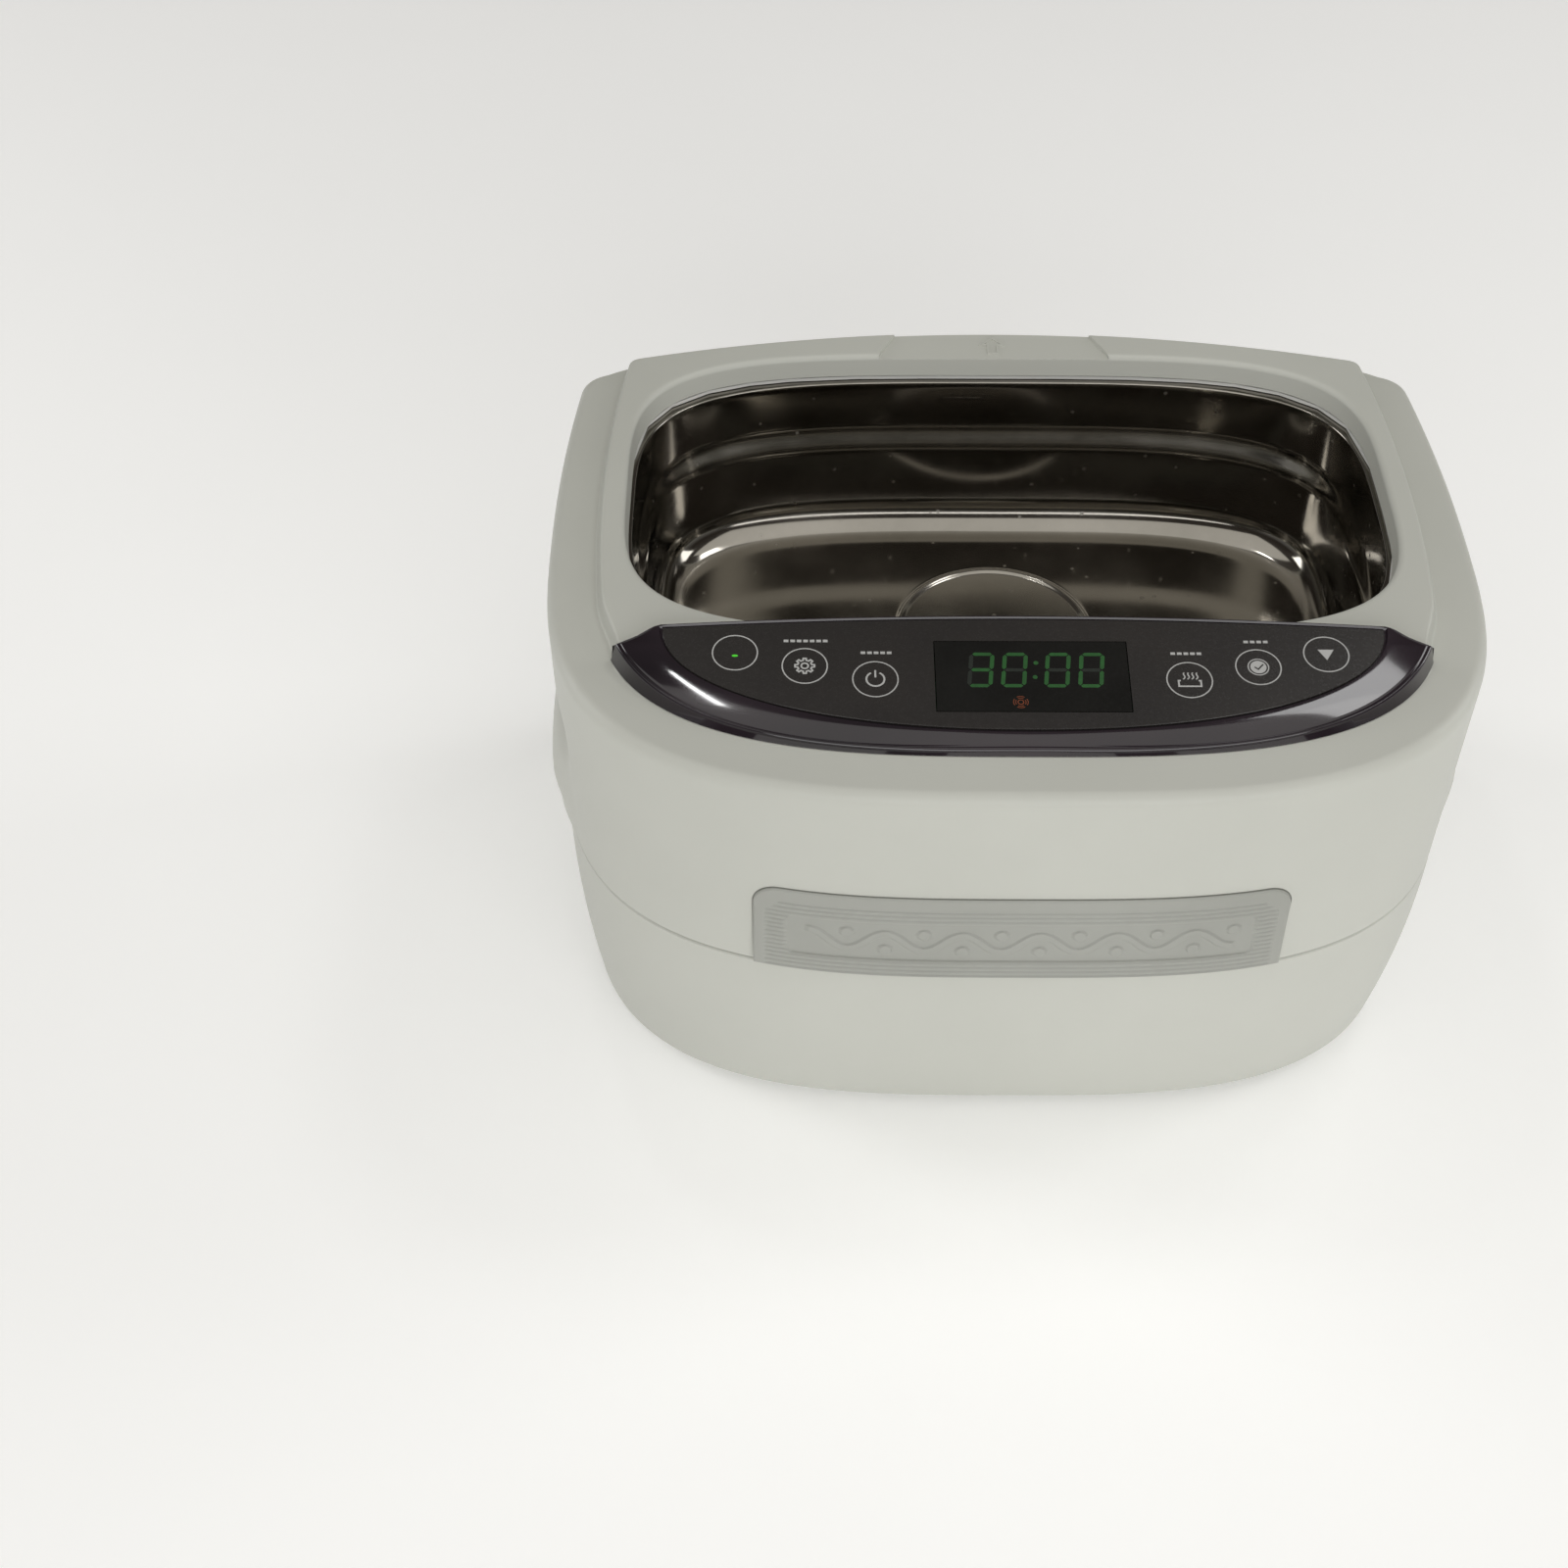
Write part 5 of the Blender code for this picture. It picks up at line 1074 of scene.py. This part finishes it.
def bezel_foot(flat):
    """On the rim in front of the tips; behind them on the raised deck."""
    deck = np.maximum(deck_z(flat[:, 1]), RIM_Z)
    return at_height(flat, np.where(flat[:, 1] > PANEL_TIP_Y + GAP, deck, RIM_Z) + GAP)


def bezel_mesh(at):
    """The glossy band round the overlay; at gives an outline's points in the panel's directions."""
    rings = [bezel_foot(at(panel_outline()))]
    edge = at(panel_outline(PANEL_DRAFT))
    groove_out = at(overlay_outline(-GROOVE_WIDTH))
    across = groove_out - edge
    span = np.linalg.norm(across, axis=1)
    across = across / span[:, None]
    broad = smooth_step(span / BEZEL_BAND)

    def band_ring(reach, sunk=0.0):
        """At one distance in from the edge; a broad band falls away towards that edge."""
        reach = np.minimum(reach, span)
        flat = edge + across * reach[:, None]
        share = reach / span
        fall = BEZEL_DROP * broad * (1 - share) ** 1.5
        return on_slope(flat, fall + sunk * broad)

    radius = np.minimum(np.maximum(BEZEL_EDGE_RADIUS * broad, 0.00015), 0.4 * span)
    for c, s in quarter(9):
        ring = band_ring(radius * c)
        ring[:, 2] -= radius * s
        rings.append(ring)
    bead = np.minimum(BEZEL_BEAD, 0.45 * span)
    for t in np.linspace(0, 1, 9)[1:]:
        rings.append(band_ring(radius + (bead - radius) * t,
                               BEZEL_BEAD_DEPTH * math.sin(math.pi * t) ** 2))
    for t in np.linspace(0, 1, 15)[1:]:
        rings.append(band_ring(bead + (span - bead) * t))
    inner = at(overlay_outline(-0.0002))
    middle = at(overlay_outline(-0.6 * GROOVE_WIDTH))
    rings += [on_slope(flat, GROOVE_DEPTH) for flat in (middle, inner)]
    under = at(overlay_outline(0.004))
    rings += [on_slope(under, OVERLAY_THICKNESS + GAP), on_slope(under, PANEL_CAP - GAP)]
    foot = at(panel_outline(PANEL_SKIRT))
    rings.append(at_height(foot, np.maximum(panel_z(foot[:, 1]) - PANEL_CAP + GAP, RIM_Z + GAP)))
    rings.append(bezel_foot(foot))
    return ring_mesh("bezel_shell", rings)


def make_panel():
    angles = panel_angles(PANEL_MIDDLE_Y)

    def at(outline):
        return at_stations(outline, PANEL_MIDDLE_Y, angles)

    bezel = add_piece("bezel_shell", bezel_mesh(at), "bezel_acrylic", smooth_angle=28)
    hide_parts("panel_bezel")
    rings = [on_slope(at(overlay_outline(inset)), drop)
             for inset, drop in ((0.0, OVERLAY_THICKNESS), (0.0, OVERLAY_EDGE), (OVERLAY_EDGE, 0.0))]
    sheet = ring_mesh("overlay_sheet", rings, closed=False)
    hole = window_mesh("window_hole", GAP, 0.01, 0.01)
    overlay = add_piece("overlay_sheet", cut(sheet, [hole]), "overlay_film")
    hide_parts("touch_overlay")
    lens = add_piece("window_lens", window_mesh("window_lens", 0.0, OVERLAY_THICKNESS, 0.00001),
                     "window_lens")
    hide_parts("display_window")


def window_mesh(name, margin, below, above):
    """Window plate over the digits, following the panel's slope."""
    x0, x1 = (WINDOW_BOX[0].x + PRINT_SHIFT - margin, WINDOW_BOX[1].x + PRINT_SHIFT + margin)
    y0, y1 = WINDOW_BOX[0].y - margin, WINDOW_BOX[1].y + margin
    outline = [(x0, y0), (x1, y0), (x1, y1), (x0, y1)]
    return prism_mesh(name, outline, lambda y: panel_z(y) - below, lambda y: panel_z(y) + above)


# Name plate


def plate_wall():
    """x and y of the front wall at the plate's middle height."""
    wall = body_outline(0.5 * SEAM_INSET, 0.5 * SEAM_INSET, 0.0)
    front = wall[wall[:, 1] < WIDEST_Y]
    front = front[np.argsort(front[:, 0])]
    return front[:, 0], front[:, 1]


def plate_edge(x, margin):
    """Top of the plate at one x: straight, with rounded upper corners."""
    half, high = PLATE_HALF_WIDTH + margin, PLATE_TOP_Z + margin
    radius = PLATE_CORNER_RADIUS + margin
    edge = half - np.abs(x)
    rounding = radius - np.sqrt(np.maximum(radius**2 - np.maximum(radius - edge, 0.0) ** 2, 0.0))
    return high - rounding


def plate_mesh(name, inner, outer, margin):
    """A slab that follows the front wall, between two offsets from its surface."""
    xs, ys = plate_wall()
    low = SEAM_Z + SEAM_GAP + (GAP - margin)
    rings = []
    half = PLATE_HALF_WIDTH + margin
    for angle in np.linspace(0, math.pi, 121):
        x = -half * math.cos(angle)
        y = float(np.interp(x, xs, ys))
        top = max(float(plate_edge(x, margin)), low + 0.002)
        rings.append([(x, y - inner, low), (x, y - inner, top), (x, y - outer, top),
                      (x, y - outer, low)])
    return ring_mesh(name, rings, closed=False)


def soft_edge(distance):
    """0 outside to 1 inside, over the relief's narrow flank."""
    return smooth_step(distance / RELIEF_FLANK + 0.5)


def plate_relief(x, z):
    """Height of the plate's face: ribs, and a sunk field with a raised wave and bubbles."""
    height = np.zeros_like(x)
    edge_x = FIELD_HALF_WIDTH - np.abs(x)
    edge_z = np.minimum(z - FIELD_LOW_Z, FIELD_HIGH_Z - z)
    corner = np.hypot(np.maximum(FIELD_CORNER - edge_x, 0), np.maximum(FIELD_CORNER - edge_z, 0))
    inside = np.minimum(np.minimum(edge_x, edge_z), FIELD_CORNER - corner)
    field = soft_edge(inside)
    for i in range(RIB_COUNT):
        level = RIB_TOP_Z - RIB_PITCH * i
        reach = PLATE_HALF_WIDTH - 0.0035 - max(0.0, 0.004 - RIB_PITCH * i)
        groove = smooth_step(1 - np.abs(z - level) / (2 * RIB_HALF_WIDTH))
        height -= 0.8 * RELIEF * groove * (1 - field) * smooth_step((reach - np.abs(x)) / 0.0004)
    turn = 2 * math.pi * x / WAVE_PITCH
    middle = 0.5 * (FIELD_LOW_Z + FIELD_HIGH_Z)
    wave_z = middle + WAVE_HEIGHT * np.sin(turn)
    slope = WAVE_HEIGHT * 2 * math.pi / WAVE_PITCH * np.cos(turn)
    wave = np.abs(z - wave_z) / np.sqrt(1 + slope**2)
    raised = soft_edge(WAVE_HALF_WIDTH - wave) * smooth_step((0.067 - np.abs(x)) / 0.001)
    for i in range(-5, 6):
        side = 1 if i % 2 else -1
        centre_x = (i + 0.5) * 0.5 * WAVE_PITCH
        distance = np.hypot(x - centre_x, z - middle - side * WAVE_HEIGHT)
        raised = np.maximum(raised, soft_edge(BUBBLE_RADIUS - distance))
    return height - RELIEF * field * (1 - raised)


def plate_grid():
    """x, front y, back y and z of a fine grid over the plate, its front with the relief."""
    xs, ys = plate_wall()
    low = SEAM_Z + SEAM_GAP + GAP
    columns = np.concatenate([
        -PLATE_HALF_WIDTH * np.cos(np.linspace(0, 0.30, 24)),
        np.linspace(-PLATE_HALF_WIDTH * math.cos(0.30), PLATE_HALF_WIDTH * math.cos(0.30), 330)[1:-1],
        PLATE_HALF_WIDTH * np.cos(np.linspace(0.30, 0, 24)),
    ])
    levels = RIB_TOP_Z - RIB_PITCH / 12 * np.arange(-60, 260)
    levels = levels[(levels > low + 0.0001) & (levels < PLATE_TOP_Z - 0.0001)][::-1]
    share = (np.array([low, *levels, PLATE_TOP_Z]) - low) / (PLATE_TOP_Z - low)
    top = np.maximum(plate_edge(columns, 0.0), low + 0.004)
    x = np.repeat(columns[:, None], len(share), 1)
    z = low + (top[:, None] - low) * share[None, :]
    wall = np.interp(columns, xs, ys)[:, None]
    rim = np.minimum(np.minimum(top[:, None] - z, z - low), PLATE_HALF_WIDTH - np.abs(x))
    rounded = 0.0004 * (1 - smooth_step(rim / 0.0006))
    y = wall - PLATE_PROUD + rounded - plate_relief(x, z) * smooth_step(rim / 0.0008)
    return x, y, np.repeat(wall + PLATE_THICKNESS - PLATE_PROUD, len(share), 1), z


def make_nameplate():
    """Front face as a fine grid with its relief, closed at the back."""
    x, front, back, z = plate_grid()
    verts = np.concatenate([np.stack([x, side, z], 2).reshape(-1, 3) for side in (front, back)])
    rows, cols = x.shape
    behind = rows * cols
    grid = np.arange(behind).reshape(rows, cols)
    quads = np.stack([grid[:-1, :-1], grid[1:, :-1], grid[1:, 1:], grid[:-1, 1:]], 2)
    loop = np.array([*grid[:, 0], *grid[-1, 1:], *grid[-2::-1, -1], *grid[0, -2:0:-1]])
    ahead = np.roll(loop, -1)
    strips = np.stack([grid[:-1, 0], grid[1:, 0], grid[1:, -1], grid[:-1, -1]], 1) + behind
    faces = np.concatenate([quads.reshape(-1, 4), strips,
                            np.stack([loop, ahead, ahead + behind, loop + behind], 1)])
    used, renumbered = np.unique(faces, return_inverse=True)
    mesh = bpy.data.meshes.new("plate_shell")
    mesh.from_pydata(verts[used].tolist(), [], renumbered.reshape(-1, 4).tolist())
    plate = add_piece("plate_shell", outward(mesh), "nameplate_plastic", smooth_angle=50)
    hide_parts("nameplate")


# Tank


def tank_profile():
    """(inset from the opening, height) down the tank's inner face to its floor."""
    bend = TANK_FLANGE_BEND
    levels = [(TANK_INSET - bend * s, TANK_FLANGE_Z - bend * c) for c, s in quarter(5)]
    top = TANK_STEP_Z + 0.5 * TANK_STEP_HEIGHT
    for t in np.linspace(0, 1, 8)[1:]:
        z = TANK_FLANGE_Z - bend + (top - TANK_FLANGE_Z + bend) * t
        levels.append((TANK_INSET + 0.5 * TANK_DRAFT * t, z))
    for t in np.linspace(0, 1, 16)[1:]:
        levels.append((TANK_INSET + 0.5 * TANK_DRAFT + TANK_STEP * float(smooth_step(t)),
                       top - TANK_STEP_HEIGHT * t))
    bottom = TANK_INSET + TANK_DRAFT + TANK_STEP
    start = levels[-1]
    stop_z = TANK_FLOOR_Z + TANK_FILLET
    for t in np.linspace(0, 1, 8)[1:]:
        levels.append((start[0] + (bottom - start[0]) * t, start[1] + (stop_z - start[1]) * t))
    return levels + [(bottom + TANK_FILLET * c, TANK_FLOOR_Z + TANK_FILLET * s)
                     for c, s in quarter(18)[1:]]


def make_tank():
    def at(grow, z):
        return at_height(at_stations(opening_outline(grow, TANK_ROUNDNESS)), z)

    def round_at(radius, z):
        return at_height(at_stations(circle_outline(radius, RING_Y)), z)

    levels = tank_profile()
    rings = [at(TANK_FLANGE_WIDTH, TANK_FLANGE_Z)]
    rings += [at(-inset, z) for inset, z in levels]
    flat_edge = at(-levels[-1][0] - 0.0008, TANK_FLOOR_Z)
    ring_edge = round_at(RING_RADIUS + 0.0016, TANK_FLOOR_Z)
    rings += [flat_edge + (ring_edge - flat_edge) * t for t in np.linspace(0, 1, 6)]
    for t in np.linspace(0, 1, 15):
        lift = RING_HEIGHT * math.sin(math.pi * t) ** 2
        rings.append(round_at(RING_RADIUS + 0.0008 - RING_WIDTH * t, TANK_FLOOR_Z + lift))
    rings.append(round_at(TANK_MIDDLE_RADIUS, TANK_FLOOR_Z))
    inner_last = len(rings) - 1
    rings.append(round_at(TANK_MIDDLE_RADIUS, TANK_FLOOR_Z - TANK_WALL))
    rings.append(round_at(RING_RADIUS, TANK_FLOOR_Z - TANK_WALL))
    for inset, z in reversed(levels[6:]):
        share = np.clip((TANK_FLOOR_Z + TANK_FILLET - z) / TANK_FILLET, 0, 1)
        rings.append(at(TANK_WALL * (1 - share) - inset, z - TANK_WALL * share))
    rings.append(at(TANK_WALL - TANK_INSET + TANK_OUTER_BEND, TANK_FLANGE_Z - TANK_WALL))
    rings.append(at(TANK_FLANGE_WIDTH, TANK_FLANGE_Z - TANK_WALL))
    mesh = ring_mesh("tank_shell", rings, capped=inner_last)
    shell = add_piece("tank_shell", mesh, "stainless_steel", smooth_angle=45)
    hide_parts("tank")


def make_fill_mark():
    """Plain stamped level mark on the tank's back wall: a bar between two ticks."""
    z = TANK_FLANGE_Z - 0.0068
    y = OPENING_BACK_Y - TANK_INSET - 0.0005

    def place(x, height):
        return Vector((x, y, z + height))

    left, right, end = -0.0180, -0.0030, 0.0016
    strokes = [([(left, 0.0), (right, 0.0)], 0.0005, False)]
    strokes += [([(x, -end), (x, end)], 0.0005, False) for x in (left, right)]
    strokes += [([(x, 0.0008), (x, 0.0022)], 0.0004, False) for x in (-0.0142, -0.0105, -0.0068)]
    for i, stroke in enumerate(strokes):
        mesh = stroke_mesh(f"fill_mark_{i + 1}", [stroke], place, (0, 0.0012, 0))
        add_piece(f"fill_mark_{i + 1}", mesh, "stainless_steel")


# Other CAD pieces


def soften_edges():
    """Rounds the edges of the plain moulded and pressed pieces that stay as CAD made them."""
    widths = {"inlet_socket": 0.0006, "fan_frame": 0.0004, "fan_rotor": 0.0003,
              "transformer": 0.0005, "heatsink": 0.0002, "main_board": 0.0001}
    for corner in CORNERS:
        widths[f"foot_{corner}"] = 0.0005
        widths[f"case_screw_{corner}"] = 0.0002
    for node, width in widths.items():
        modifier = frame["nodes"][node].modifiers.new("edges", "BEVEL")
        modifier.width = width
        modifier.segments = 3
        modifier.limit_method = "ANGLE"
        modifier.angle_limit = math.radians(40)


# Stage


def make_stage():
    bm = bmesh.new()
    bmesh.ops.create_grid(bm, x_segments=1, y_segments=1, size=FLOOR_HALF_SIZE)
    floor = link_object("floor", mesh_of(bm, "floor"))
    floor.data.materials.append(MATERIALS["floor_paper"])


def add_light(name, location, target, size, power, colour=(1, 1, 1)):
    data = bpy.data.lights.new(name, "AREA")
    data.shape = "RECTANGLE"
    data.size, data.size_y = size
    data.energy = power
    data.color = colour
    light = link_object(name, data)
    light.location = location
    light.rotation_euler = (Vector(target) - Vector(location)).to_track_quat("-Z", "Y").to_euler()


def make_lights():

    add_light("overhead", (0.0, -0.50, 1.9), (0, -0.5, 0.1), (3.2, 2.0), 17.5, (1, 0.99, 0.95))
    add_light("front", (0.25, -1.9, 0.75), (0, 0, 0.08), (2.4, 1.0), 20)
    add_light("left", (-1.6, 0.5, 0.8), (0, 0, 0.1), (0.5, 0.9), 6)
    add_light("right", (1.6, 0.4, 0.9), (0, 0, 0.1), (0.5, 0.9), 5)
    add_light("back_right", (0.62, 0.45, 1.55), (0.08, -0.08, 0.16), (0.34, 0.30), 1.8)
    add_light("strip", (-0.32, 0.42, 1.56), (-0.09, -0.08, 0.16), (0.03, 0.20), 0.6)
    world = bpy.data.worlds.new("studio")
    bpy.context.scene.world = world
    world.use_nodes = True
    tree = world.node_tree
    place = add_node(tree, "TexCoord").outputs["Generated"]
    shade = ramp(tree, add_node(tree, "SeparateXYZ", Vector=place).outputs["Z"],
                 ((0.0, (0.50, 0.50, 0.49)), (0.16, (0.44, 0.44, 0.43)),
                  (0.45, (0.060, 0.050, 0.042)), (1.0, (0.15, 0.14, 0.13))))
    set_inputs(tree.nodes["Background"], Color=shade, Strength=0.8)
    bpy.context.scene.view_settings.view_transform = "Standard"

def make_camera():
    data = bpy.data.cameras.new("camera")
    data.lens = CAMERA_LENS
    data.sensor_width = CAMERA_SENSOR
    camera = link_object("camera", data)
    camera.location = CAMERA_PLACE
    camera.rotation_euler = [math.radians(turn) for turn in CAMERA_TURNS]
    bpy.context.scene.camera = camera


make_camera()
make_stage()
make_lights()
make_upper_shell()
make_lower_shell()
make_arrow()
make_panel()
make_pads()
make_label_marks()
make_display()
make_nameplate()
make_tank()
make_fill_mark()
soften_edges()
